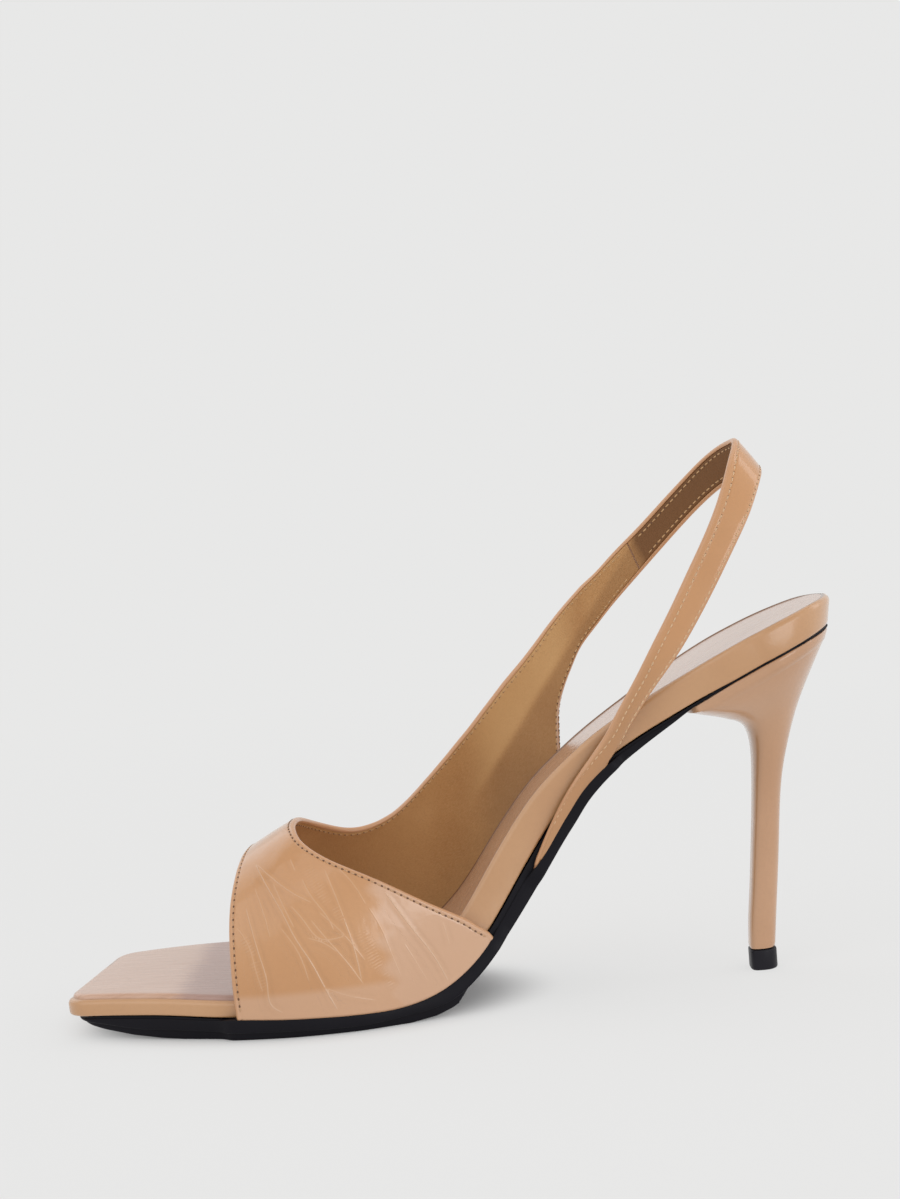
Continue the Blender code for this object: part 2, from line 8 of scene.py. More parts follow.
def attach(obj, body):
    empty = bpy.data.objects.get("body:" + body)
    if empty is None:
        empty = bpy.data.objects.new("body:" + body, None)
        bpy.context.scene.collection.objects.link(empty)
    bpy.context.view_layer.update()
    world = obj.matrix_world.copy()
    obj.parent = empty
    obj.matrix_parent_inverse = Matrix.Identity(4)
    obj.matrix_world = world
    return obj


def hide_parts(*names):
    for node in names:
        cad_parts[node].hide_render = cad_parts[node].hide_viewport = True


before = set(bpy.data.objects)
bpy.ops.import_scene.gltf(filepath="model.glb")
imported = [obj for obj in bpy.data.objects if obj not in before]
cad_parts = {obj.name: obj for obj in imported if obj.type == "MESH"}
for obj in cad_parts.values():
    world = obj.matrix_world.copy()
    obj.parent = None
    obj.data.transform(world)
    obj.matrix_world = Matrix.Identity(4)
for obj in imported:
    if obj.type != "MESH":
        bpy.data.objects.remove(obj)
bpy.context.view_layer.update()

# Slingback sandal, right foot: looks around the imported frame.
# Working frame of the tables: station s from the toe tip, side y (medial -), height z, millimetres.
SHIFT = np.array([-107.526, -1.301, 0.0])

# ---- camera, floor and lights ------------------------------------------------------------
scene = bpy.context.scene
PSI, PITCH, ROLL = (math.radians(v) for v in (-0.457, 3.227, 4.57))
_f = Vector((math.sin(PSI) * math.cos(PITCH), math.cos(PSI) * math.cos(PITCH), -math.sin(PITCH)))
_r = Vector((math.cos(PSI), -math.sin(PSI), 0.0))
_u = _r.cross(_f)
_R = _r * math.cos(ROLL) - _u * math.sin(ROLL)
_U = _r * math.sin(ROLL) + _u * math.cos(ROLL)
cam = bpy.data.cameras.new("cam")
cam.lens = 60.891
cam.sensor_width = 36.0
cam.clip_start, cam.clip_end = 0.01, 30.0
cam_ob = bpy.data.objects.new("cam", cam)
scene.collection.objects.link(cam_ob)
cam_ob.matrix_world = Matrix((
    (_R.x, _U.x, -_f.x, 0.007894),
    (_R.y, _U.y, -_f.y, -0.56470),
    (_R.z, _U.z, -_f.z, 0.14180),
    (0, 0, 0, 1)))
scene.camera = cam_ob
scene.view_settings.view_transform = "Standard"
scene.view_settings.look = "None"


# ---- small node helpers --------------------------------------------------------------------
class Mat:
    """A Principled material with procedural inputs."""

    def __init__(self, name, color, rough, coat=0.0, coat_rough=0.05, spec=0.5, metal=0.0, ior=1.5, sheen=0.0, coat_ior=1.5):
        self.m = bpy.data.materials.new(name)
        self.m.use_nodes = True
        self.t = self.m.node_tree
        self.p = self.t.nodes["Principled BSDF"]
        i = self.p.inputs
        i["Base Color"].default_value = (*color, 1)
        i["Roughness"].default_value = rough
        i["Metallic"].default_value = metal
        i["IOR"].default_value = ior
        i["Specular IOR Level"].default_value = spec
        i["Coat Weight"].default_value = coat
        i["Coat Roughness"].default_value = coat_rough
        i["Coat IOR"].default_value = coat_ior
        i["Sheen Weight"].default_value = sheen
        self.m.diffuse_color = (*color, 1)

    def n(self, kind, **kw):
        nd = self.t.nodes.new(kind)
        for k, v in kw.items():
            if k in nd.inputs and not hasattr(nd, k):
                nd.inputs[k].default_value = v
            else:
                setattr(nd, k, v)
        return nd

    def link(self, a, b):
        self.t.links.new(a, b)

    def coords(self, kind="Object", scale=(1, 1, 1), rot=(0, 0, 0)):
        tc = self.n("ShaderNodeTexCoord")
        mp = self.n("ShaderNodeMapping")
        mp.inputs["Scale"].default_value = scale
        mp.inputs["Rotation"].default_value = rot
        self.link(tc.outputs[kind], mp.inputs["Vector"])
        return mp.outputs["Vector"]

    def noise(self, vec, scale, detail=2.0, rough=0.5, dist=0.0):
        nd = self.n("ShaderNodeTexNoise")
        nd.inputs["Scale"].default_value = scale
        nd.inputs["Detail"].default_value = detail
        nd.inputs["Roughness"].default_value = rough
        nd.inputs["Distortion"].default_value = dist
        self.link(vec, nd.inputs["Vector"])
        return nd.outputs["Fac"]

    def ramp(self, fac, stops):
        nd = self.n("ShaderNodeValToRGB")
        el = nd.color_ramp.elements
        while len(el) < len(stops):
            el.new(0.5)
        for e, (pos, c) in zip(el, stops):
            e.position = pos
            e.color = (*c, 1) if len(c) == 3 else c
        self.link(fac, nd.inputs["Fac"])
        return nd.outputs["Color"]

    def range(self, fac, a, b, c=0.0, d=1.0):
        nd = self.n("ShaderNodeMapRange")
        for k, v in zip(("From Min", "From Max", "To Min", "To Max"), (a, b, c, d)):
            nd.inputs[k].default_value = v
        self.link(fac, nd.inputs["Value"])
        return nd.outputs["Result"]

    def math(self, op, a, b=None):
        nd = self.n("ShaderNodeMath", operation=op)
        for k, v in ((0, a), (1, b)):
            if v is None:
                continue
            if isinstance(v, (int, float)):
                nd.inputs[k].default_value = v
            else:
                self.link(v, nd.inputs[k])
        return nd.outputs[0]

    def mix(self, fac, a, b, mode="MIX"):
        nd = self.n("ShaderNodeMix", data_type="RGBA", blend_type=mode)
        for sock, v in ((nd.inputs[0], fac), (nd.inputs[6], a), (nd.inputs[7], b)):
            if isinstance(v, (int, float)):
                sock.default_value = v
            elif isinstance(v, tuple):
                sock.default_value = (*v, 1)
            else:
                self.link(v, sock)
        return nd.outputs[2]

    def attr(self, name):
        nd = self.n("ShaderNodeAttribute", attribute_name=name)
        return nd.outputs["Fac"]

    def bump(self, height, strength, dist, chain=None, coat=False):
        nd = self.n("ShaderNodeBump")
        nd.inputs["Strength"].default_value = strength
        nd.inputs["Distance"].default_value = dist
        self.link(height, nd.inputs["Height"])
        if chain is not None:
            self.link(chain, nd.inputs["Normal"])
        return nd.outputs["Normal"]

    def normal(self, n, coat=True):
        self.link(n, self.p.inputs["Normal"])
        if coat:
            self.link(n, self.p.inputs["Coat Normal"])


# floor and backdrop: a round studio bowl, the same from every side
BG = (0.806, 0.806, 0.801)
R0, RC, HW = 1.9, 1.0, 2.6


def make_bowl():
    prof = [(0.0, 0.0)] + [(R0 * k / 24, 0.0) for k in range(1, 25)]
    prof += [(R0 + RC * math.sin(a), RC * (1 - math.cos(a))) for a in np.linspace(0, math.pi / 2, 25)[1:]]
    prof += [(R0 + RC, RC + HW * k / 6) for k in range(1, 7)]
    n = 96
    verts, faces = [(0, 0, 0)], []
    for r, z in prof[1:]:
        for k in range(n):
            a = 2 * math.pi * k / n
            verts.append((r * math.cos(a), r * math.sin(a), z))
    for k in range(n):
        faces.append((0, 1 + k, 1 + (k + 1) % n))
    for j in range(len(prof) - 2):
        b = 1 + j * n
        for k in range(n):
            faces.append((b + k, b + n + k, b + n + (k + 1) % n, b + (k + 1) % n))
    me = bpy.data.meshes.new("studio_bowl")
    me.from_pydata(verts, [], faces)
    me.polygons.foreach_set("use_smooth", [True] * len(me.polygons))
    me.update()
    ob = bpy.data.objects.new("studio_bowl", me)
    scene.collection.objects.link(ob)
    m = bpy.data.materials.new("studio_paper")
    m.use_nodes = True
    t = m.node_tree
    t.nodes.clear()
    out = t.nodes.new("ShaderNodeOutputMaterial")
    dif = t.nodes.new("ShaderNodeBsdfDiffuse")
    dif.inputs["Color"].default_value = (0.80, 0.80, 0.80, 1)
    em = t.nodes.new("ShaderNodeEmission")
    em.inputs["Color"].default_value = (*BG, 1)
    em.inputs["Strength"].default_value = 1.0
    geo = t.nodes.new("ShaderNodeNewGeometry")
    ln = t.nodes.new("ShaderNodeVectorMath"); ln.operation = "LENGTH"
    t.links.new(geo.outputs["Position"], ln.inputs[0])
    mr = t.nodes.new("ShaderNodeMapRange"); mr.interpolation_type = "SMOOTHSTEP"
    mr.inputs["From Min"].default_value = 0.20
    near = t.nodes.new("ShaderNodeVectorMath"); near.operation = "SUBTRACT"
    near.inputs[1].default_value = (-0.046, 0.0, 0.0)
    t.links.new(geo.outputs["Position"], near.inputs[0])
    wide = t.nodes.new("ShaderNodeVectorMath"); wide.operation = "MULTIPLY"
    wide.inputs[1].default_value = (1 / 0.067, 1 / 0.045, 0.0)
    t.links.new(near.outputs[0], wide.inputs[0])
    nl = t.nodes.new("ShaderNodeVectorMath"); nl.operation = "LENGTH"
    t.links.new(wide.outputs[0], nl.inputs[0])
    nr = t.nodes.new("ShaderNodeMapRange"); nr.interpolation_type = "SMOOTHSTEP"
    nr.inputs["From Min"].default_value = 0.70
    nr.inputs["From Max"].default_value = 1.10
    nr.inputs["To Min"].default_value = 0.05
    nr.inputs["To Max"].default_value = 0.80
    t.links.new(nl.outputs["Value"], nr.inputs["Value"])
    t.links.new(nr.outputs["Result"], mr.inputs["To Min"])
    mr.inputs["From Max"].default_value = 0.80
    t.links.new(ln.outputs["Value"], mr.inputs["Value"])
    mx = t.nodes.new("ShaderNodeMixShader")
    t.links.new(mr.outputs["Result"], mx.inputs[0])
    t.links.new(dif.outputs[0], mx.inputs[1])
    t.links.new(em.outputs[0], mx.inputs[2])
    t.links.new(mx.outputs[0], out.inputs[0])
    me.materials.append(m)
    return ob


make_bowl()

world = bpy.data.worlds.new("studio")
scene.world = world
world.use_nodes = True
world.node_tree.nodes["Background"].inputs["Color"].default_value = (1.0, 0.985, 0.97, 1)
world.node_tree.nodes["Background"].inputs["Strength"].default_value = 0.52


def area(name, loc, target, size, power, color=(1, 1, 1), size_y=None, spread=math.pi):
    d = bpy.data.lights.new(name, "AREA")
    d.shape = "RECTANGLE"
    d.size, d.size_y = size, size_y or size
    d.energy = power
    d.color = color
    d.spread = spread
    o = bpy.data.objects.new(name, d)
    scene.collection.objects.link(o)
    o.location = loc
    o.rotation_mode = "QUATERNION"
    o.rotation_quaternion = (Vector(target) - Vector(loc)).to_track_quat("-Z", "Y")
    return o


area("key_softbox", (-0.75, -0.85, 1.15), (0.0, 0.0, 0.05), 1.35, 3.9, (1.0, 0.98, 0.96))
area("top_softbox", (0.15, 0.25, 1.35), (0.0, 0.0, 0.05), 1.1, 2.4, (1.0, 0.985, 0.99))
area("right_strip", (1.05, 0.10, 0.55), (0.0, 0.0, 0.08), 0.35, 1.3, (1.0, 0.97, 0.99), size_y=0.9)
area("front_card", (0.78, -0.90, 0.30), (0.0, 0.0, 0.05), 0.75, 2.4, (0.97, 0.98, 1.0), size_y=0.46)
area("rear_left_card", (-0.95, 0.85, 1.00), (-0.03, 0.0, 0.05), 1.25, 2.3, (0.93, 0.96, 1.0))

# ---- driving dimensions, millimetres -------------------------------------------------
WALL = 1.8            # wall of the upper
GAP = 0.3             # clearance between neighbouring pieces
SOCK = 1.1            # thickness of the sock lining
RIM = 0.9             # width of the board's rim outside the sock lining

# station along the foot (s, from the toe tip), insole profile z, half widths to the
# medial and lateral sock edge, board thickness, outsole thickness under the board
SOLE = np.array([
    # s      z     medial lateral board  outsole
    (-4.0, 11.3,  23.4,  20.6,  4.2,  0.9),
    (0.0,  11.5,  24.0,  21.6,  4.3,  1.1),
    (6.0,  11.7,  25.2,  23.8,  4.4,  1.8),
    (22.5, 11.5,  28.6,  29.4,  4.4,  3.8),
    (45.0, 10.3,  33.0,  35.6,  4.5,  3.4),
    (62.0,  9.6,  34.6,  37.2,  4.6,  2.8),
    (76.0,  9.4,  33.4,  35.4,  4.8,  2.8),
    (88.0, 10.9,  29.6,  30.4,  5.6,  3.1),
    (98.0, 15.8,  25.0,  24.6,  7.2,  5.2),
    (108.0, 26.0, 20.6,  19.8,  8.1,  4.8),
    (118.0, 40.6, 17.0,  16.4,  8.1,  5.4),
    (130.0, 56.2, 14.3,  13.0,  7.9,  5.0),
    (138.0, 63.4, 13.4,  11.6,  7.4,  3.8),
    (145.0, 69.0, 13.0,  11.2,  7.1,  3.4),
    (155.0, 75.6, 14.0,  12.4,  7.3,  2.6),
    (165.0, 81.4, 16.8,  16.8,  7.4,  1.5),
    (171.0, 84.7, 18.4,  19.6,  7.4,  0.8),
    (185.0, 92.0, 20.9,  21.6,  7.4,  0.8),
    (196.0, 96.8, 19.9,  20.6,  7.3,  0.8),
    (205.0, 100.3, 15.4, 16.0,  7.2,  0.8),
    (210.0, 102.1, 10.2, 10.6,  7.2,  0.8),
    (213.0, 103.1, 1.2,   1.2,  7.2,  0.8),
    (217.0, 104.4, 1.2,   1.2,  7.2,  0.8),
])
HEEL_END = 213.0
SLANT = 5.0           # how much further back the lateral toe corner lies
TAIL_FROM = 193.0     # from here the tail's end turns upright
TAIL_RAKE = 0.48

# how far the upper reaches down beside the outsole, and the outsole's extra half width
# under it on either side
EDGE = np.array([
    # s     sink  medial lateral
    (0.0,   0.2,  -0.9,  -0.9),
    (30.0,  0.2,  -0.6,  -0.6),
    (41.0, -0.1,   0.2,  -0.4),
    (45.0, -0.7,   2.2,   0.0),
    (51.0, -0.9,   2.3,   0.6),
    (54.5, -0.9,   2.3,   2.3),
    (62.0, -0.9,   2.3,   2.3),
    (76.0, -0.8,   2.3,   2.3),
    (88.0,  0.1,   2.3,   2.3),
    (98.0,  1.0,   2.3,   2.3),
    (104.0, 1.2,   2.3,   2.3),
    (107.2, 1.1,   2.3,   2.3),
    (109.2, 1.0,   0.4,   2.3),
    (117.0, 1.2,   0.4,   2.3),
    (119.0, 1.6,   2.3,   2.3),
    (123.0, 2.1,   2.3,   2.3),
    (128.0, 1.7,   2.3,   2.3),
    (133.0, 0.7,   2.3,   2.3),
    (138.0, 0.2,   2.3,   0.3),
    (146.4, 0.2,   2.3,   0.2),
    (149.0, 0.2,   0.3,   0.2),
    (165.0, 0.2,   0.0,   0.0),
    (171.0, 0.2,  -0.3,  -0.3),
    (217.0, 0.2,  -0.3,  -0.3),
])


def pchip(x, y, q):
    """Shape-preserving cubic through the rows of a table."""
    x = np.asarray(x, float); y = np.asarray(y, float); q = np.asarray(q, float)
    h = np.diff(x); dl = np.diff(y) / h
    m = np.zeros_like(y)
    w1 = 2 * h[1:] + h[:-1]; w2 = h[1:] + 2 * h[:-1]
    same = dl[1:] * dl[:-1] > 0
    a = np.where(same, dl[:-1], 1.0); b = np.where(same, dl[1:], 1.0)
    m[1:-1] = np.where(same, (w1 + w2) / (w1 / a + w2 / b), 0.0)
    m[0], m[-1] = dl[0], dl[-1]
    i = np.clip(np.searchsorted(x, q) - 1, 0, len(x) - 2)
    u = (q - x[i]) / h[i]
    return ((2*u**3 - 3*u**2 + 1) * y[i] + (u**3 - 2*u**2 + u) * h[i] * m[i]
            + (-2*u**3 + 3*u**2) * y[i+1] + (u**3 - u**2) * h[i] * m[i+1])


def smooth_curve(x, y, sigma):
    """Dense samples of a table curve, softened over sigma millimetres."""
    g = np.arange(x[0], x[-1] + 1e-6, 0.25)
    v = pchip(x, y, g)
    if sigma > 0:
        n = int(4 * sigma / 0.25)
        k = np.exp(-0.5 * (np.arange(-n, n + 1) * 0.25 / sigma) ** 2); k /= k.sum()
        lo = v[0] - (v[1] - v[0]) * np.arange(n, 0, -1)
        hi = v[-1] + (v[-1] - v[-2]) * np.arange(1, n + 1)
        v = np.convolve(np.concatenate([lo, v, hi]), k, "valid")
    return g, v


_G, _Z = smooth_curve(SOLE[:, 0], SOLE[:, 1], 3.0)
_S = np.gradient(_Z, _G)
_GT, _T = smooth_curve(SOLE[:, 0], SOLE[:, 4], 2.0)
_GO, _O = smooth_curve(SOLE[:, 0], SOLE[:, 5], 1.0)


def zt(s): return np.interp(s, _G, _Z)
def slope(s): return np.interp(s, _G, _S)
def board_t(s): return np.interp(s, _GT, _T)
def outsole_t(s): return np.interp(s, _GO, _O)
def wm(s): return pchip(SOLE[:, 0], SOLE[:, 2], s)
def wl(s): return pchip(SOLE[:, 0], SOLE[:, 3], s)
def sink(s): return pchip(EDGE[:, 0], EDGE[:, 1], s)


def sheet(s, y, d):
    """A point at station s and side y, d millimetres under the insole profile; the tail stands upright."""
    s, y, d = np.broadcast_arrays(np.asarray(s, float), np.asarray(y, float), np.asarray(d, float))
    w = np.clip((s - TAIL_FROM) / (HEEL_END - TAIL_FROM), 0, 1)
    s = s - TAIL_RAKE * w * w * (3 - 2 * w) * (np.minimum(d, 7.4) - 4.5)
    k = slope(s); c = 1 / np.sqrt(1 + k * k)
    return np.stack([s + d * k * c, y, zt(s) - d * c], -1)


# the board's lower edge as a curve over x
_bs = np.linspace(-2, 213, 861)
_bb = sheet(_bs, 0, board_t(_bs))
def zbot(x): return np.interp(x, _bb[:, 0], _bb[:, 2])
def s_bot(x): return np.interp(x, _bb[:, 0], _bs)
# level of the upper's lower edge
_ub = sheet(_bs, 0, board_t(_bs) + sink(_bs))
def zbase(x): return np.interp(x, _ub[:, 0], _ub[:, 2])
# top of the outsole's flange, which the upper's lower edge stands on
def flange_d(s):
    t, o = board_t(s) + GAP, outsole_t(s)
    return np.minimum(board_t(s) + sink(s) + 0.75, t + 0.82 * o)
_fl = sheet(_bs, 0, flange_d(_bs))
def zflange(x): return np.interp(x, _fl[:, 0], _fl[:, 2])
def s_base(x): return np.interp(x, _ub[:, 0], _bs)

# foot form over the vamp and the wing: ridge height and side, and how full each side is
LAST = np.array([
    # s     ridge_z ridge_y med_up med_in lat_up lat_in
    (40.0,  38.5,  -6.0,  0.62,  0.62,  0.55,  0.55),
    (50.0,  44.0,  -6.5,  0.62,  0.62,  0.55,  0.55),
    (60.0,  49.6,  -7.0,  0.62,  0.60,  0.55,  0.52),
    (66.0,  52.6,  -7.0,  0.60,  0.56,  0.54,  0.48),
    (80.0,  61.0,  -6.0,  0.56,  0.50,  0.54,  0.42),
    (100.0, 79.0,  -4.0,  0.50,  0.44,  0.55,  0.44),
    (120.0, 101.0, -2.0,  0.50,  0.44,  0.58,  0.50),
    (140.0, 124.0,  0.0,  0.50,  0.44,  0.60,  0.60),
    (160.0, 146.0,  0.0,  0.50,  0.44,  0.60,  0.60),
])
LEAN = np.array([
    # s     medial lateral   (how far the side wall leans out over its height)
    (40.0,  1.0,   1.0),
    (66.0,  1.5,   1.5),
    (100.0, 2.0,   6.0),
    (120.0, 2.0,  12.0),
    (140.0, 2.0,  18.0),
    (160.0, 2.0,  22.0),
])


def last(s, t):
    """Foot form: station s, t from the medial base (0) over the ridge (0.5) to the lateral base (1)."""
    s = np.asarray(s, float); t = np.asarray(t, float)
    s, t = np.broadcast_arrays(s, t)
    col = lambda j: pchip(LAST[:, 0], LAST[:, j], s)
    zr, yr = col(1), col(2)
    zb = zbase(s); sb = s_base(s)
    bm = -(wm(sb) + RIM + GAP + 0.1); bl = wl(sb) + RIM + GAP + 0.1
    med = t < 0.5
    u = np.where(med, t * 2, (1 - t) * 2)
    yb = np.where(med, bm, bl)
    up = np.where(med, col(3), col(5)); inn = np.where(med, col(4), col(6))
    lean = np.where(med, -pchip(LEAN[:, 0], LEAN[:, 1], s), pchip(LEAN[:, 0], LEAN[:, 2], s))
    H = zr - zb
    y1 = yb + lean; z1 = zb + up * H
    y2 = yr + (yb + lean - yr) * inn; z2 = zr
    a, b, c, d = (1-u)**3, 3*u*(1-u)**2, 3*u*u*(1-u), u**3
    y = a*yb + b*y1 + c*y2 + d*yr
    z = a*zb + b*z1 + c*z2 + d*zr
    P = np.stack([s, y, z], -1)
    return P


def last_out(s, t, off):
    e = 1e-3
    P = last(s, t)
    ds = (last(s + e*10, t) - last(s - e*10, t)); dt = last(s, np.clip(t + e, 0, 1)) - last(s, np.clip(t - e, 0, 1))
    n = np.cross(ds, dt); n /= np.linalg.norm(n, axis=-1, keepdims=True)
    return P + n * off
# upper: rows across the ribbon, from its front or lower edge (a) to its collar or upper edge (b),
# as station and place round the foot form
VAMP = np.array([
    # k    a_s    a_t    b_s    b_t
    (0,   46.4,  0.000, 115.2, 0.000),
    (1,   46.0,  0.060, 108.4, 0.055),
    (2,   45.9,  0.125, 101.5, 0.098),
    (3,   46.0,  0.190,  90.8, 0.158),
    (4,   46.4,  0.260,  79.8, 0.223),
    (5,   47.4,  0.340,  71.2, 0.290),
    (6,   48.4,  0.420,  65.8, 0.370),
    (7,   49.4,  0.500,  64.0, 0.460),
    (8,   50.4,  0.580,  64.4, 0.550),
    (9,   51.4,  0.660,  66.8, 0.637),
    (10,  52.4,  0.745,  72.0, 0.7085),
    (11,  53.3,  0.830,  78.0, 0.749),
    (12,  54.2,  0.920,  84.2, 0.7645),
    (13,  55.0,  1.000,  89.8, 0.7685),
    (14,  64.0,  1.000,  95.0, 0.7643),
    (15,  74.5,  1.000,  99.8, 0.758),
    (16,  86.0,  1.000, 104.4, 0.755),
    (17,  97.0,  1.000, 109.0, 0.7545),
    (18, 107.0,  1.000, 114.0, 0.7575),
    (19, 116.0,  1.000, 119.2, 0.761),
    (20, 124.0,  1.000, 124.6, 0.7655),
    (21, 131.0,  1.000, 130.0, 0.7705),
    (22, 137.6,  1.000, 135.2, 0.7745),
    (23, 138.0,  0.955, 139.0, 0.7770),
    (24, 139.0,  0.912, 142.4, 0.7785),
    (25, 142.2,  0.889, 146.0, 0.7795),
    (26, 146.7,  0.869, 149.6, 0.7810),
])
# sling: rows after the wing, lower edge (a) and upper edge (b)
SLING = np.array([
    # a_x     a_y    a_z     b_x     b_y    b_z
    (151.8,  22.3,  97.0,  153.1,  22.3, 113.1),
    (156.9,  22.7, 102.6,  156.5,  22.5, 116.3),
    (162.2,  22.8, 108.0,  159.9,  22.6, 119.5),
    (172.1,  21.8, 117.9,  166.9,  21.9, 125.8),
    (179.9,  19.8, 125.7,  174.1,  20.2, 132.8),
    (185.5,  16.8, 131.1,  180.3,  17.6, 138.9),
    (190.1,  13.0, 134.9,  185.0,  14.0, 143.4),
    (194.0,   8.4, 137.2,  188.7,   9.2, 146.3),
    (196.8,   3.0, 138.2,  191.0,   3.4, 147.6),
    (198.0,  -2.6, 138.3,  191.3,  -2.6, 147.6),
    (197.6,  -8.0, 137.2,  190.5,  -7.6, 145.8),
    (196.4, -12.2, 134.7,  188.9, -11.6, 142.3),
    (194.5, -15.6, 130.6,  186.8, -14.9, 137.0),
    (192.1, -18.6, 126.0,  184.2, -17.8, 130.8),
    (188.1, -20.4, 119.2,  180.4, -19.6, 123.2),
    (182.6, -21.6, 110.0,  175.0, -21.0, 113.8),
    (176.8, -22.0, 100.7,  169.4, -21.6, 104.0),
    (170.7, -21.6,  91.8,  163.9, -21.4,  94.8),
    (164.0, -20.2,  83.4,  158.4, -20.2,  85.4),
    (158.6, -18.4,  76.2,  153.4, -18.8,  77.4),
    (155.4, -16.2,  71.6,  148.8, -17.0,  70.0),
    (152.6, -14.9,  67.6,  139.6, -15.9,  58.0),
])
SLING_END = (149.6, 127.6)     # stations of the sling's foot on the medial waist


def spline(x, Y, q):
    """Natural cubic through rows Y at x, sampled at q."""
    n = len(x); h = np.diff(x)
    A = np.zeros((n, n)); R = np.zeros((n,) + Y.shape[1:])
    A[0, 0] = A[-1, -1] = 1
    sh = (-1,) + (1,) * (Y.ndim - 1)
    for i in range(1, n - 1):
        A[i, i-1], A[i, i], A[i, i+1] = h[i-1], 2 * (h[i-1] + h[i]), h[i]
        R[i] = 6 * ((Y[i+1] - Y[i]) / h[i] - (Y[i] - Y[i-1]) / h[i-1])
    M = np.linalg.solve(A, R.reshape(n, -1)).reshape(R.shape)
    i = np.clip(np.searchsorted(x, q) - 1, 0, n - 2)
    hh = h[i].reshape(sh); a = (x[i+1] - q).reshape(sh) / hh; b = (q - x[i]).reshape(sh) / hh
    return a * Y[i] + b * Y[i+1] + ((a**3 - a) * M[i] + (b**3 - b) * M[i+1]) * hh**2 / 6


def base_pt(x, side):
    sb = s_base(x)
    w = np.where(side < 0, -(wm(sb) + RIM + GAP + 0.1), wl(sb) + RIM + GAP + 0.1)
    return np.stack([np.asarray(x, float), w, zbase(x)], -1)


def ribbon_rows(m):
    """Control rows of the upper at column fractions m; returns rows and the row labels."""
    rows, lab = [], []
    ks = np.arange(0, 26.01, 0.5)
    cols = [pchip(VAMP[:, 0], VAMP[:, j], ks) for j in range(1, 5)]
    for k, sa, ta, sb, tb in zip(ks, *cols):
        rows.append(last(sa + (sb - sa) * m, ta + (tb - ta) * m)); lab.append(k)
    for i, r in enumerate(SLING):
        a, b = r[:3], r[3:]
        P = a + (b - a) * m[:, None]
        rows.append(P); lab.append(27 + i)
    xe = SLING_END[0] + (SLING_END[1] - SLING_END[0]) * m
    rows.append(base_pt(xe, -1)); lab.append(27 + len(SLING))
    return np.array(rows), np.array(lab, float)


def ribbon(m, per_row):
    """Inner surface of the upper: control rows joined by a smooth curve per column."""
    rows, lab = ribbon_rows(m)
    step = np.linalg.norm(np.diff(rows, axis=0), axis=2)
    d = np.concatenate([[0], np.cumsum(0.5 * step.mean(1) + 0.5 * step.max(1))])
    q = []
    for i in range(len(lab) - 1):
        n = max(1, int(round(per_row * (lab[i+1] - lab[i]))))
        q += list(np.linspace(d[i], d[i+1], n, endpoint=False))
    q.append(d[-1]); q = np.array(q)
    return spline(d, rows, q), np.interp(q, d, lab)


def normals(G):
    dk = np.gradient(G, axis=0); dm = np.gradient(G, axis=1)
    n = np.cross(dm, dk)
    return n / np.linalg.norm(n, axis=2, keepdims=True)


def upper_sheets(m, per_row, wall=WALL):
    """Inner and outer surface of the upper, its lower edges set just above the flange."""
    G, lab = ribbon(m, per_row)
    O = G + normals(G) * wall
    for A in (G, O):
        A[0, :, 2] = zflange(A[0, :, 0]) + 0.5
        A[-1, :, 2] = zflange(A[-1, :, 0]) + 0.5
        e = lab > 46
        A[e, :, 2] = np.maximum(A[e, :, 2], zflange(A[e, :, 0]) + 0.5)
        k = (lab >= 12.99) & (lab <= 22.01)
        A[k, 0, 2] = zflange(A[k, 0, 0]) + 0.5
    return G, O, lab



# ---- mesh helpers ------------------------------------------------------------------------------
def piece(name, verts, faces, mat, node=(), uv=None, attrs=None, sharp=None, fix=True):
    """A smooth mesh from working-frame points in millimetres; rides on the one body."""
    me = bpy.data.meshes.new(name)
    me.from_pydata(((np.asarray(verts, float) + SHIFT) * 0.001).tolist(), [], faces)
    me.update()
    if attrs:
        for k, v in attrs.items():
            a = me.attributes.new(k, "FLOAT", "POINT")
            a.data.foreach_set("value", np.asarray(v, np.float32).ravel())
    if uv is not None:
        lay = me.uv_layers.new(name="UVMap")
        idx = np.empty(len(me.loops), np.int32)
        me.loops.foreach_get("vertex_index", idx)
        lay.data.foreach_set("uv", np.asarray(uv, np.float32)[idx].ravel())
    if fix:
        bm = bmesh.new()
        bm.from_mesh(me)
        bmesh.ops.recalc_face_normals(bm, faces=bm.faces)
        bm.to_mesh(me)
        bm.free()
    me.polygons.foreach_set("use_smooth", [True] * len(me.polygons))
    if sharp:
        me.set_sharp_from_angle(angle=math.radians(sharp))
    ob = bpy.data.objects.new(name, me)
    scene.collection.objects.link(ob)
    me.materials.append(mat)
    if node:
        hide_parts(*([node] if isinstance(node, str) else node))
    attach(ob, "root")
    return ob


def grid_faces(R, C, base=0, wrap=False):
    f = []
    for i in range(R - 1):
        a = base + i * C
        for j in range(C if wrap else C - 1):
            k = (j + 1) % C
            f.append((a + j, a + k, a + C + k, a + C + j))
    return f


def arc(P):
    return np.concatenate([[0], np.cumsum(np.linalg.norm(np.diff(P, axis=0), axis=1))])


def resample(P, step):
    d = arc(P)
    n = max(2, int(round(d[-1] / step)) + 1)
    q = np.linspace(0, d[-1], n)
    return np.stack([np.interp(q, d, P[:, k]) for k in range(3)], -1)


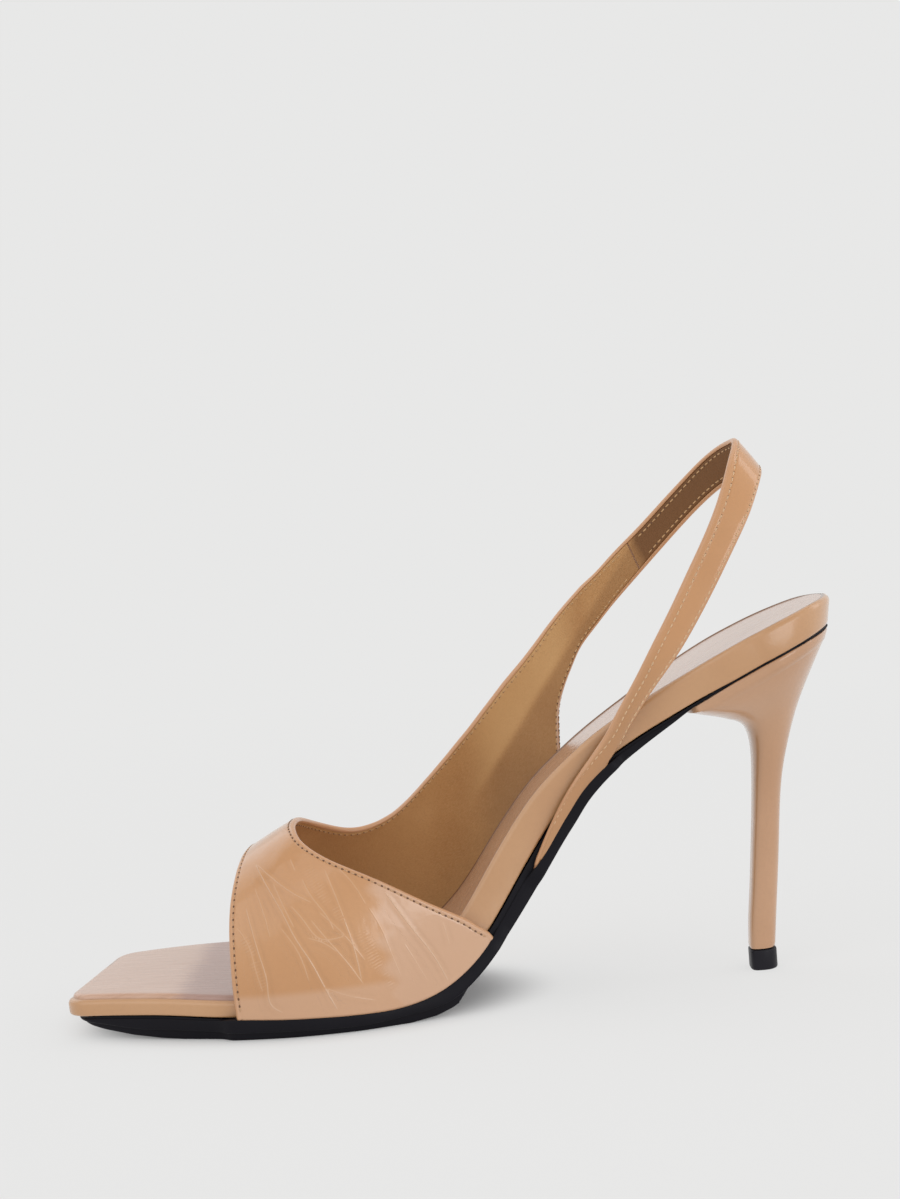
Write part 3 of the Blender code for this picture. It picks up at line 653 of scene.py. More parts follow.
# ---- upper: fine surfaces ---------------------------------------------------------------------
def fine_rows(target):
    rows, lab = ribbon_rows(np.linspace(0, 1, 9))
    step = np.linalg.norm(np.diff(rows, axis=0), axis=2)
    d = np.concatenate([[0], np.cumsum(0.5 * step.mean(1) + 0.5 * step.max(1))])
    q = []
    for i in range(len(lab) - 1):
        n = max(1, int(math.ceil(step[i].max() / target(lab[i]))))
        q += list(np.linspace(d[i], d[i + 1], n, endpoint=False))
    q.append(d[-1])
    q = np.array(q)
    return d, q, np.interp(q, d, lab)


CROSS = 29.42                      # row where the strap goes into the wing
_d, _q, LAB = fine_rows(lambda l: 0.52 if l < 13.2 else (1.0 if l < 27 else 1.15))
_q = np.sort(np.concatenate([_q, np.interp([CROSS - 0.02, CROSS + 0.02], LAB, _q)]))
LAB = np.interp(_q, _d, ribbon_rows(np.linspace(0, 1, 3))[1])
MD = np.linspace(0, 1, 161)
GD = spline(_d, ribbon_rows(MD)[0], _q)
ND = normals(GD)
# normals follow the surface over about a millimetre and a half
for _ in range(6):
    ND[1:-1] = (ND[:-2] + 2 * ND[1:-1] + ND[2:]) / 4
    ND /= np.linalg.norm(ND, axis=2, keepdims=True)
NR = len(LAB)
SEG = np.linalg.norm(np.diff(GD, axis=1), axis=2)
EA = np.concatenate([np.zeros((NR, 1)), np.cumsum(SEG, axis=1)], axis=1)   # mm from edge a
WID = EA[:, -1]


def smooth1(v, n):
    for _ in range(n):
        v = np.concatenate([v[:1], (v[:-2] + 2 * v[1:-1] + v[2:]) / 4, v[-1:]])
    return v


def seat_on_flange(A, lift=0.06):
    """Brings the lower edges down onto the flange, fading out over a few millimetres."""
    A = A.copy()
    for r, sgn in ((0, 1), (-1, -1)):
        d = np.zeros((len(A), A.shape[1]))
        step = np.linalg.norm(np.diff(A, axis=0), axis=2)
        if r == 0:
            d[1:] = np.cumsum(step, axis=0)
        else:
            d[:-1] = np.cumsum(step[::-1], axis=0)[::-1]
        delta = zflange(A[r, :, 0]) + lift - A[r, :, 2]
        A[:, :, 2] += delta[None, :] * np.clip(1 - d / 2.6, 0, 1) ** 2
    k = (LAB >= 12.99) & (LAB <= 22.01)
    d = np.zeros(A.shape[:2])
    d[:, 1:] = np.cumsum(np.linalg.norm(np.diff(A, axis=1), axis=2), axis=1)
    delta = np.where(k, zflange(A[:, 0, 0]) + lift - A[:, 0, 2], 0)
    ramp = np.clip(np.minimum((LAB - 12.6) / 0.4, (22.4 - LAB) / 0.4), 0, 1)
    near = np.interp(LAB, LAB[k], delta[k])
    A[:, :, 2] += (near * ramp)[:, None] * np.clip(1 - d / 2.6, 0, 1) ** 2
    e = LAB > 46
    A[e, :, 2] = np.maximum(A[e, :, 2], zflange(A[e, :, 0]) + lift)
    return A


GD = seat_on_flange(GD)
_rows_idx = np.arange(NR)


def at(e, off):
    """Points e millimetres from edge a (one value per row and column), off millimetres out."""
    e = np.asarray(e, float)
    out = np.empty(e.shape + (3,)); nn = np.empty(e.shape + (3,))
    for i in range(NR):
        f = np.interp(e[i], EA[i], MD) * (len(MD) - 1)
        j = np.clip(f.astype(int), 1, len(MD) - 3)
        t = (f - j)[:, None]
        p0, p1, p2, p3 = GD[i, j - 1], GD[i, j], GD[i, j + 1], GD[i, j + 2]
        out[i] = 0.5 * ((2 * p1) + (-p0 + p2) * t + (2 * p0 - 5 * p1 + 4 * p2 - p3) * t * t + (-p0 + 3 * p1 - 3 * p2 + p3) * t ** 3)
        nn[i] = ND[i, j] * (1 - t) + ND[i, j + 1] * t
    nn /= np.linalg.norm(nn, axis=2, keepdims=True)
    return out + nn * np.asarray(off)[..., None], nn


A_BASE = np.clip(np.minimum((LAB - 12.7) / 0.3, (22.3 - LAB) / 0.3), 0, 1)      # edge a lies on the sole
END_A = np.clip(np.minimum(LAB / 0.25, (49 - LAB) / 0.15), 0, 1)
IS_STRAP = np.clip((LAB - CROSS) / 0.04, 0, 1)
RE = 0.85                                   # how round the folded edges are


def edge_offsets(th):
    return RE * (1 - np.cos(th)), np.sin(th)


# outer surface sample distances from each edge
NC = 112
near_e = np.array([0.85, 1.1, 1.35, 1.6, 1.85, 2.1, 2.35])
out_lo, out_hi = 0.95 * WALL, None


def outer_columns():
    e = np.zeros((NR, NC))
    for i in range(NR):
        w = WID[i]
        k = near_e * min(1.0, w / 6.2)
        mid = np.linspace(k[-1], w - k[-1], NC - 2 * len(k) + 2)[1:-1]
        e[i] = np.concatenate([k, mid, (w - k)[::-1]])
    return e


EO = outer_columns()
EB_D = WID[:, None] - EO


# ---- creases of the embossed leather, (station, height) in millimetres -----------------------------
# side, layer, strength, then the points of the line as the side view shows them
CREASES = [
    ("m", 0, 1.00, (53.3, 44.0), (56.8, 38.8), (60.6, 32.5), (63.5, 26.3), (66.9, 20.4), (69.9, 13.9), (73.1, 6.7)),
    ("m", 1, 0.70, (53.8, 43.9), (58.8, 40.6), (63.0, 37.7), (68.4, 34.8)),
    ("m", 2, 0.55, (62.9, 45.5), (64.3, 42.7)),
    ("m", 1, 0.55, (72.3, 42.5), (74.4, 36.9), (76.9, 29.2)),
    ("m", 1, 1.00, (76.5, 30.4), (78.9, 21.4), (80.0, 13.9)),
    ("m", 2, 0.90, (50.6, 34.3), (52.3, 27.9), (53.9, 21.8), (55.3, 15.0), (56.3, 8.9), (58.8, 7.3)),
    ("m", 3, 0.60, (53.1, 38.9), (55.3, 33.2), (56.9, 26.8)),
    ("m", 0, 1.00, (87.8, 35.6), (91.6, 29.4), (95.3, 23.7), (99.3, 17.3), (102.6, 9.9)),
    ("m", 2, 0.50, (102.4, 25.9), (103.7, 19.7)),
    ("m", 3, 0.60, (62.9, 34.3), (66.2, 30.2), (69.7, 25.8), (76.5, 25.7)),
    ("m", 2, 0.60, (67.9, 30.5), (72.3, 24.6), (76.1, 19.6), (80.4, 12.7)),
    ("m", 3, 0.60, (58.2, 40.1), (60.8, 34.5), (63.4, 28.9)),
    ("m", 0, 0.60, (66.1, 40.7), (68.3, 36.4), (72.6, 30.2), (73.7, 27.5)),
    ("m", 3, 0.50, (70.1, 32.3), (74.7, 27.9), (81.3, 18.8)),
    ("m", 2, 0.45, (59.8, 29.1), (62.8, 24.9), (64.8, 20.7), (66.3, 15.0)),
    ("m", 1, 0.50, (48.0, 29.5), (50.7, 25.6), (52.5, 18.8), (54.0, 13.0)),
    ("m", 3, 0.45, (83.3, 32.1), (86.1, 26.5), (88.2, 20.0), (90.3, 13.4)),
    ("m", 1, 0.40, (91.9, 21.6), (94.8, 15.9), (97.0, 11.2)),
    ("m", 2, 0.40, (75.6, 43.2), (79.5, 38.6), (82.4, 33.2)),
    ("m", 0, 0.40, (70.2, 12.9), (76.6, 10.0), (83.4, 7.9)),
    ("m", 3, 0.50, (66.7, 26.1), (71.2, 24.2), (74.2, 21.8)),
    # lateral side of the vamp and wing
    ("l", 0, 1.00, (62.0, 41.0), (68.0, 31.0), (72.5, 22.0), (77.0, 9.5)),
    ("l", 1, 0.80, (57.5, 37.0), (60.0, 27.0), (62.5, 17.0), (64.5, 8.0)),
    ("l", 2, 0.85, (74.0, 43.0), (81.5, 33.0), (88.0, 21.0), (93.5, 9.0)),
    ("l", 3, 0.65, (66.0, 37.0), (75.0, 32.5), (84.5, 29.5)),
    ("l", 0, 1.00, (86.5, 41.0), (94.0, 32.0), (101.5, 21.5), (107.5, 13.5)),
    ("l", 1, 0.75, (97.0, 48.0), (101.5, 39.0), (105.0, 27.0)),
    ("l", 2, 0.95, (103.0, 54.0), (111.0, 44.5), (119.5, 35.0)),
    ("l", 3, 0.65, (108.0, 46.0), (112.5, 36.0), (114.5, 27.0)),
    ("l", 0, 0.85, (111.0, 64.5), (118.5, 55.0), (127.0, 46.5)),
    ("l", 1, 0.60, (116.0, 70.0), (122.0, 64.5), (129.5, 61.0)),
    ("l", 2, 0.80, (122.0, 78.0), (127.5, 68.5), (133.5, 58.5)),
    ("l", 3, 0.60, (126.0, 84.0), (131.5, 78.5), (137.0, 71.5)),
    ("l", 0, 0.70, (132.0, 90.0), (136.5, 82.0), (138.6, 73.0)),
]
# bands of short cross ridges: side, half width of the band, start, end
LADDERS = [
    ("m", 1.5, (67.4, 43.5), (72.9, 33.9)),
    ("m", 1.0, (73.9, 33.6), (76.4, 28.5)),
    ("m", 1.6, (80.4, 26.6), (84.9, 15.6)),
    ("m", 1.3, (49.5, 27.5), (52.4, 21.8)),
    ("m", 1.2, (52.0, 21.5), (54.6, 13.0)),
    ("m", 1.0, (85.7, 15.2), (88.4, 9.4)),
    ("l", 1.7, (66.0, 44.0), (75.0, 27.0)),
    ("l", 1.6, (80.0, 27.0), (86.0, 12.0)),
    ("l", 1.6, (92.0, 42.5), (99.5, 27.0)),
    ("l", 1.6, (106.5, 57.0), (113.5, 41.0)),
    ("l", 1.5, (119.0, 73.0), (124.5, 60.5)),
]

PO, NO = at(EO, np.full(EO.shape, WALL))
_side = {"m": LAB < 6.9, "l": (LAB > 7.1) & (LAB < 27)}


def on_surface(side, pts, step=0.35):
    """3-D points on the outer surface for a line given as (station, height)."""
    p = np.array(pts, float)
    d = np.concatenate([[0], np.cumsum(np.linalg.norm(np.diff(p, axis=0), axis=1))])
    q = np.linspace(0, d[-1], max(3, int(d[-1] / step)))
    f = np.stack([spline(d, p[:, k], q) if len(p) > 2 else np.interp(q, d, p[:, k]) for k in (0, 1)], -1)
    V = PO[_side[side]].reshape(-1, 3)
    c = V[(V[:, 0] > f[:, 0].min() - 2) & (V[:, 0] < f[:, 0].max() + 2)]
    i = ((c[None, :, 0] - f[:, None, 0]) ** 2 + (c[None, :, 2] - f[:, None, 1]) ** 2).argmin(1)
    y = smooth1(c[i, 1], 30)
    return np.stack([f[:, 0], y, f[:, 1]], -1), q / q[-1]


def line_field(line, reach):
    """Distance of each outer vertex to a line and how far along it lies, where within reach."""
    lo, hi = line.min(0) - reach, line.max(0) + reach
    idx = np.argwhere(((PO >= lo) & (PO <= hi)).all(-1))
    if len(idx) == 0:
        return idx, None, None
    V = PO[idx[:, 0], idx[:, 1]]
    D = np.full(len(V), 1e9); T = np.zeros(len(V)); s0 = 0.0
    L_ = np.linalg.norm(np.diff(line, axis=0), axis=1)
    for k in range(len(line) - 1):
        a, b = line[k], line[k + 1]
        u = b - a
        t = np.clip(((V - a) @ u) / max(u @ u, 1e-9), 0, 1)
        dd = np.linalg.norm(V - a - t[:, None] * u, axis=1)
        m_ = dd < D
        D[m_] = dd[m_]; T[m_] = s0 + t[m_] * L_[k]
        s0 += L_[k]
    return idx, D, T


# soft ridges in the surface, and in each layer the signed distance to its nearest line for the fine crest
EMB = np.zeros(EO.shape)
LD = np.full((4,) + EO.shape, 3.0); LS = np.zeros((4,) + EO.shape)
for side, layer, h, *pts in CREASES:
    line, _ = on_surface(side, pts)
    tot = arc(line)[-1]
    idx, D, T = line_field(line, 3.0)
    if len(idx) == 0:
        continue
    r_, c_ = idx[:, 0], idx[:, 1]
    u = np.clip(T / tot, 0, 1)
    env = np.sin(np.pi * np.clip(u, 0.0, 1)) ** 0.45
    EMB[r_, c_] += h * env * (0.06 * np.exp(-(D / 0.5) ** 2) - 0.02 * np.exp(-((D - 1.1) / 0.5) ** 2))
    mid = np.minimum(np.searchsorted(arc(line), T), len(line) - 2)
    tan_ = line[mid + 1] - line[mid]
    side_ = np.sign(np.einsum("ij,ij->i", np.cross(tan_, PO[r_, c_] - line[mid]), NO[r_, c_]))
    side_[side_ == 0] = 1.0
    near = D < np.abs(LD[layer, r_, c_])
    k_ = (r_[near], c_[near])
    LD[(layer,) + k_] = (D * side_)[near]
    LS[(layer,) + k_] = (h * np.clip(np.minimum(T, tot - T) / 1.2, 0.0, 1.0) ** 0.6)[near]
LMASK = np.zeros(EO.shape); LPH = np.zeros(EO.shape)
for side, w, a, b in LADDERS:
    line, _ = on_surface(side, [a, b])
    tot = arc(line)[-1]
    idx, D, T = line_field(line, 2 * w)
    env = np.exp(-(D / w) ** 4) * np.clip(np.minimum(T, tot - T) / 1.0, 0, 1)
    cur = LMASK[idx[:, 0], idx[:, 1]]
    better = env > cur
    LMASK[idx[better, 0], idx[better, 1]] = env[better]
    LPH[idx[better, 0], idx[better, 1]] = T[better]
# the strap's foot bends over the top edge of the rim
FOOT = np.array([(152.6, -19.9, 74.6), (151.3, -19.3, 72.2), (148.1, -18.4, 68.0), (145.0, -17.8, 63.8),
                 (140.8, -17.6, 58.6), (136.9, -17.9, 53.4), (133.5, -18.3, 48.0)])
idx, D, T = line_field(resample(FOOT, 0.8), 4.0)
EMB[idx[:, 0], idx[:, 1]] += np.where(LAB[idx[:, 0]] > 44, 0.30 * np.exp(-(D / 0.7) ** 2) * np.clip(T / 2.5, 0, 1), 0)

# ---- section offsets across the ribbon --------------------------------------------------------------
on_a = 1 - A_BASE                                      # 1 where edge a is a free, folded edge
dA, dB = EO, EB_D
is_sling = np.clip((LAB - CROSS) / 3.0, 0, 1)[:, None]
vamp_a = np.clip((12.6 - LAB) / 0.5, 0, 1)[:, None]    # front edge of the vamp
groove = np.zeros(EO.shape)
st_a = np.where(LAB < 12.9, 1.45, np.where(LAB < 37, 1.35, 0.85))          # stitch rows from edge a
st_b = np.where(LAB < 24, 1.65, np.where(LAB < 38, 1.45, 2.35))             # and from edge b
st_a, st_b = smooth1(st_a, 30), smooth1(st_b, 30)
narrow = np.clip((WID - 3.6) / 2.0, 0.0, 1.0)
groove -= 0.13 * np.exp(-((dA - st_a[:, None]) / 0.38) ** 2) * on_a[:, None]
groove -= 0.13 * np.exp(-((dB - st_b[:, None]) / 0.38) ** 2)
puff = 0.22 * is_sling * np.sin(np.pi * np.clip(dA / WID[:, None], 0, 1)) ** 0.8
ease = np.clip(np.minimum(dA, dB) / 2.2, 0, 1)
OFF = WALL + groove + puff + EMB * ease
# slight overlap of the wing over the strap
OFF -= 0.16 * IS_STRAP[:, None] * np.exp(-np.clip(LAB - CROSS, 0, 9)[:, None] / 1.5)

# ---- one loop per row ------------------------------------------------------------------------------
TH = np.radians([90, 66, 42, 20, 0, -20, -42, -66, -90])
half = WALL / 2 - 0.02
loopE, loopO = [], []
# edge b arc, outer side to inner side (distances from edge b)
for th in TH[1:]:
    loopE.append(("b", RE * (1 - math.cos(th))))
    loopO.append(half + 0.02 + half * math.sin(th) if th != 0 else half + 0.02)
arcs_b = list(zip([v for _, v in loopE], loopO))
FOLD = 1.02                                            # width of the edge fold on the inside
DEEP = 0.62                                            # depth of the bed for the lining
in_b = [(FOLD - 0.08, 0.04), (FOLD, 0.12), (FOLD + 0.04, DEEP)]
NI = 16


def section():
    """Distances and offsets of the leather's closed section, for all rows."""
    E = [EO[:, j] for j in range(NC)]
    F = [OFF[:, j] for j in range(NC)]
    w = WID
    sc = np.minimum(1.0, w / 6.2)
    for v, o in arcs_b:
        E.append(w - v * sc); F.append(np.full(NR, o))
    for v, o in in_b:
        E.append(w - v * sc); F.append(np.full(NR, o))
    a, b = (FOLD + 0.04) * sc, w - (FOLD + 0.04) * sc
    for t in np.linspace(0, 1, NI + 2)[1:-1]:
        E.append(b + (a - b) * t); F.append(np.full(NR, DEEP))
    for v, o in in_b[::-1]:
        E.append(v * sc); F.append(np.full(NR, o))
    for v, o in arcs_b[::-1]:
        E.append(v * sc); F.append(np.full(NR, o))
    return np.stack(E, 1), np.stack(F, 1)


SE, SF = section()
SP, SN = at(SE, SF)
NS = SE.shape[1]


def uv_along(R_):
    mid = GD[:, len(MD) // 2]
    u = arc(mid)
    return u


U_ROW = uv_along(None)
uv = np.stack([np.repeat(U_ROW[:, None], NS, 1), SE], -1).reshape(-1, 2)
verts = SP.reshape(-1, 3)
faces = grid_faces(NR, NS, wrap=True)
faces.append(tuple(range(NS)))
faces.append(tuple(reversed(range((NR - 1) * NS, NR * NS))))
zeros = np.zeros((NR, NS))
lm, lp = zeros.copy(), zeros.copy()
lm[:, :NC], lp[:, :NC] = LMASK * ease, LPH
# painted highlight on the raised creases and painted shade in the grooves beside them
painted_ridge_highlight, painted_shade = zeros.copy(), zeros.copy()
painted_ridge_highlight[:, :NC] = np.clip(EMB / 0.16, 0, 1) ** 0.8 * ease
painted_shade[:, :NC] = np.clip(-EMB / 0.05, 0, 1) * ease
# painted reflection: the gloss painted pale into the leather's colour over the vamp's rear third and along its lower
# edge
painted_reflection = zeros.copy()
vx, vz = PO[:, :, 0], PO[:, :, 2]
rear = np.clip((vx + 0.10 * (vz - 20.0) - 84.0 + 1.2 * np.sin(vz * 0.9)) / 5.0, 0, 1)
low = np.clip((13.2 - vz + 0.02 * (vx - 60)) / 2.5, 0, 1)
soft = lambda q: q * q * (3 - 2 * q)
painted_reflection[:, :NC] = np.maximum(soft(rear), 0.75 * soft(low)) * np.clip((7.5 - LAB) / 1.0, 0, 1)[:, None]
layers = {}
for n_ in range(4):
    a_, s_ = zeros + 3.0, zeros.copy()
    a_[:, :NC], s_[:, :NC] = LD[n_], LS[n_] * np.clip(np.minimum(EO, EB_D) / 2.0, 0, 1)
    layers["line_%d" % n_], layers["force_%d" % n_] = a_, s_
# painted shade: a dark line at the cross seam and a darker strap foot, both put into the shade mask
seam_shade = np.exp(-((LAB[:, None] - CROSS) * 4.2 / 0.45) ** 2) * np.ones((1, NC))
painted_shade[:, :NC] = np.maximum(painted_shade[:, :NC], seam_shade)
painted_shade[:, :NC] = np.maximum(painted_shade[:, :NC], 0.85 * np.clip((LAB[:, None] - 43.5) / 2.0, 0, 1))
# closeness to the folded edges: carries the painted edge highlight and a thinner coat there
dmin = np.minimum(SE, WID[:, None] - SE)
edge = np.exp(-(dmin / 1.1) ** 2)


# ---- materials ---------------------------------------------------------------------------------
def leather(name, base, light, dark, coat=0.9, rough=0.36, coat_rough=0.07, ladders=False, peel=0.12, painted_edge_highlight=None, seam_shade=False):
    m = Mat(name, base, rough, coat=coat, coat_rough=coat_rough, spec=0.42)
    v = m.coords("Object")
    big = m.noise(v, 26.0, 2.0, 0.5)
    col = m.ramp(big, [(0.30, dark), (0.52, base), (0.74, light)])
    pores = m.noise(v, 900.0, 2.0, 0.6)
    col = m.mix(m.range(pores, 0.40, 0.75, 0.0, 0.10), col, tuple(c * 0.72 for c in base))
    if seam_shade:
        # painted shade: mixed dark along the rim's inner top edge beside the sock
        col = m.mix(m.math("MULTIPLY", m.attr("seam_shade"), 0.85), col, (0.13, 0.055, 0.025))
    if painted_edge_highlight is not None:
        # painted reflection: pale gloss mixed into the base colour
        col = m.mix(m.math("MULTIPLY", m.attr("painted_reflection"), 0.58), col, (0.66, 0.43, 0.30))
        crest = None
        for k in range(4):
            d_ = m.attr("line_%d" % k)
            g_ = m.math("EXPONENT", m.math("MULTIPLY", m.math("MULTIPLY", d_, d_), -1.0 / 0.15 ** 2))
            g_ = m.math("MULTIPLY", g_, m.attr("force_%d" % k))
            crest = g_ if crest is None else m.math("MAXIMUM", crest, g_)
        # painted highlight: the crease crests mixed lighter
        col = m.mix(m.math("MULTIPLY", crest, 0.44), col, (0.73, 0.49, 0.32))
        # painted highlight: the raised creases mixed lighter
        col = m.mix(m.math("MULTIPLY", m.attr("painted_ridge_highlight"), 0.10), col, tuple(min(1.0, c * 1.22 + 0.02) for c in light))
        # painted shade: crease grooves, the strap's foot and the cross seam line mixed darker
        col = m.mix(m.math("MULTIPLY", m.attr("painted_shade"), 0.42), col, tuple(c * 0.62 for c in dark))
        # painted highlight: the folded edges' rounding mixed paler and pinker
        col = m.mix(m.math("MULTIPLY", m.attr("edge"), 0.40), col, painted_edge_highlight)
        m.link(m.range(m.attr("edge"), 0.0, 1.0, coat, 0.35), m.p.inputs["Coat Weight"])
    m.link(col, m.p.inputs["Base Color"])
    wave = m.noise(v, 210.0, 2.0, 0.5, 0.4)
    n = m.bump(wave, peel, 0.0010)
    fine = m.noise(v, 1500.0, 2.0, 0.5)
    n = m.bump(fine, 0.05, 0.0002, n)
    if ladders:
        s = m.math("SINE", m.math("MULTIPLY", m.attr("ladder_phase"), 2 * math.pi / 0.82))
        s = m.math("POWER", m.range(s, -1.0, 1.0, 0.0, 1.0), 1.6)
        wob = m.noise(v, 700.0, 1.0, 0.5)
        h = m.math("MULTIPLY", m.math("MULTIPLY", s, m.attr("ladder")), m.range(wob, 0.35, 0.62, 0.35, 1.0))
        h = m.math("MAXIMUM", m.math("MULTIPLY", h, 0.55), crest)
        n = m.bump(h, 0.70, 0.00014, n)
        # painted highlight: the ladder ridges and crests mixed lighter
        painted_highlight_col = m.mix(m.math("MULTIPLY", h, 0.22), m.p.inputs["Base Color"].links[0].from_socket, (0.76, 0.53, 0.36))
        m.link(painted_highlight_col, m.p.inputs["Base Color"])
    m.normal(n)
    rr = m.range(m.noise(v, 60.0, 3.0, 0.6), 0.3, 0.7, rough - 0.04, rough + 0.06)
    m.link(rr, m.p.inputs["Roughness"])
    return m.m


TAN = (0.565, 0.282, 0.118)
M_UPPER = leather("tan_patent_leather", TAN, (0.605, 0.318, 0.148), (0.525, 0.252, 0.098), coat_rough=0.13, ladders=True,
                  painted_edge_highlight=(0.62, 0.37, 0.24))
M_RIM = leather("rim_leather", (0.535, 0.290, 0.137), (0.57, 0.32, 0.16), (0.50, 0.262, 0.118), peel=0.10, coat_rough=0.20, seam_shade=True)
M_HEEL = leather("heel_leather", (0.515, 0.285, 0.155), (0.55, 0.31, 0.175), (0.485, 0.262, 0.138), peel=0.08, coat_rough=0.10)


def lining_material():
    m = Mat("lining_leather", (0.47, 0.255, 0.10), 0.52, coat=0.0, spec=0.35)
    v = m.coords("Object")
    big = m.noise(v, 45.0, 3.0, 0.55)
    col = m.ramp(big, [(0.30, (0.435, 0.215, 0.076)), (0.55, (0.505, 0.265, 0.10)), (0.78, (0.575, 0.32, 0.135))])
    uvv = m.coords("UV", (0.35, 1.6, 1.0))
    grain = m.noise(uvv, 2.2, 4.0, 0.65, 0.3)
    col = m.mix(m.range(grain, 0.44, 0.66, 0.0, 0.42), col, (0.62, 0.38, 0.18))
    dots = m.noise(v, 1700.0, 2.0, 0.6)
    col = m.mix(m.range(dots, 0.50, 0.66, 0.0, 0.28), col, (0.36, 0.18, 0.065))
    # painted light: the wing's lit zone and front mixed lighter
    col = m.mix(m.math("MULTIPLY", m.attr("painted_light"), 0.60), col, (0.66, 0.40, 0.175))
    # painted shade on the wing behind the slanting line; the strap's lining darker
    col = m.mix(m.math("MULTIPLY", m.attr("shade_and_strap_tone"), 0.93), col, (0.165, 0.070, 0.022))
    m.link(col, m.p.inputs["Base Color"])
    n = m.bump(grain, 0.25, 0.0002)
    n = m.bump(dots, 0.30, 0.0002, n)
    m.normal(n)
    m.link(m.range(dots, 0.3, 0.7, 0.44, 0.62), m.p.inputs["Roughness"])
    return m.m


M_LINING = lining_material()


def sock_material():
    m = Mat("sock_patent", (0.56, 0.33, 0.215), 0.34, coat=0.9, coat_rough=0.13, spec=0.45)
    g = m.coords("UV", (0.045, 1.35, 1.0))
    lines = m.noise(g, 1.0, 4.0, 0.6, 0.15)
    g2 = m.coords("UV", (0.02, 0.55, 1.0))
    broad = m.noise(g2, 1.0, 2.0, 0.5, 0.1)
    col = m.ramp(lines, [(0.34, (0.49, 0.28, 0.18)), (0.50, (0.555, 0.33, 0.218)), (0.70, (0.60, 0.375, 0.26))])
    col = m.mix(m.range(broad, 0.42, 0.60, 0.0, 0.30), col, (0.61, 0.39, 0.29))
    # painted shade: the sock darker from about station 30 back to 80, under the vamp, with less coat there
    edge_w = m.math("ADD", m.attr("station"), m.range(lines, 0.3, 0.7, -3.5, 3.5))
    shade = m.range(edge_w, 28.5, 33.5, 0.0, 1.0)
    shade = m.math("MULTIPLY", shade, m.range(m.attr("station"), 70.0, 90.0, 1.0, 0.0))
    col = m.mix(m.math("MULTIPLY", shade, 0.70), col, (0.34, 0.215, 0.195))
    # painted shade: the sock's rolled edge darker where it meets the rim
    col = m.mix(m.math("MULTIPLY", m.attr("seam_shade"), 0.75), col, (0.16, 0.075, 0.035))
    m.link(m.math("SUBTRACT", 0.80, m.math("MULTIPLY", shade, 0.45)), m.p.inputs["Coat Weight"])
    m.link(col, m.p.inputs["Base Color"])
    n = m.bump(lines, 0.12, 0.00020)
    n = m.bump(broad, 0.08, 0.0003, n)
    m.normal(n)
    m.link(m.range(lines, 0.3, 0.7, 0.36, 0.24), m.p.inputs["Roughness"])
    return m.m


M_SOCK = sock_material()


def rubber(name, base, rough, spec=0.35):
    m = Mat(name, base, rough, spec=spec)
    v = m.coords("Object")
    a = m.noise(v, 320.0, 4.0, 0.6)
    b = m.noise(v, 35.0, 3.0, 0.6)
    col = m.ramp(b, [(0.30, tuple(c * 0.8 for c in base)), (0.55, base), (0.8, tuple(c * 1.35 for c in base))])
    m.link(col, m.p.inputs["Base Color"])
    n = m.bump(a, 0.16, 0.00025)
    m.normal(n)
    m.link(m.range(m.noise(v, 90.0, 3.0, 0.6), 0.3, 0.7, rough - 0.06, rough + 0.08), m.p.inputs["Roughness"])
    return m.m


M_SOLE = rubber("sole_black", (0.0068, 0.0062, 0.0095), 0.45, spec=0.14)
M_LIFT = rubber("lift_black", (0.0105, 0.0098, 0.0140), 0.42, spec=0.20)


def thread_material(name, base):
    m = Mat(name, base, 0.5, spec=0.4, sheen=0.15)
    v = m.coords("Object")
    a = m.noise(v, 4200.0, 2.0, 0.6)
    m.link(m.ramp(a, [(0.35, tuple(c * 0.72 for c in base)), (0.6, base)]), m.p.inputs["Base Color"])
    m.normal(m.bump(a, 0.4, 0.0001))
    return m.m


M_THREAD = thread_material("thread", (0.72, 0.47, 0.27))
M_THREAD_V = thread_material("thread_tan", (0.60, 0.36, 0.20))
M_THREAD_L = thread_material("thread_lining", (0.62, 0.38, 0.18))
# painted shade: near-black capsules between the stitches stand in for the shade inside the needle holes
M_NEEDLE_SHADE = thread_material("needle_shade", (0.17, 0.078, 0.036))

upper = piece("upper_leather_shell", verts, faces, M_UPPER, node="upper", uv=uv,
              attrs={"ladder": lm, "ladder_phase": lp, "edge": edge, "painted_ridge_highlight": painted_ridge_highlight, "painted_shade": painted_shade, "painted_reflection": painted_reflection, **layers})


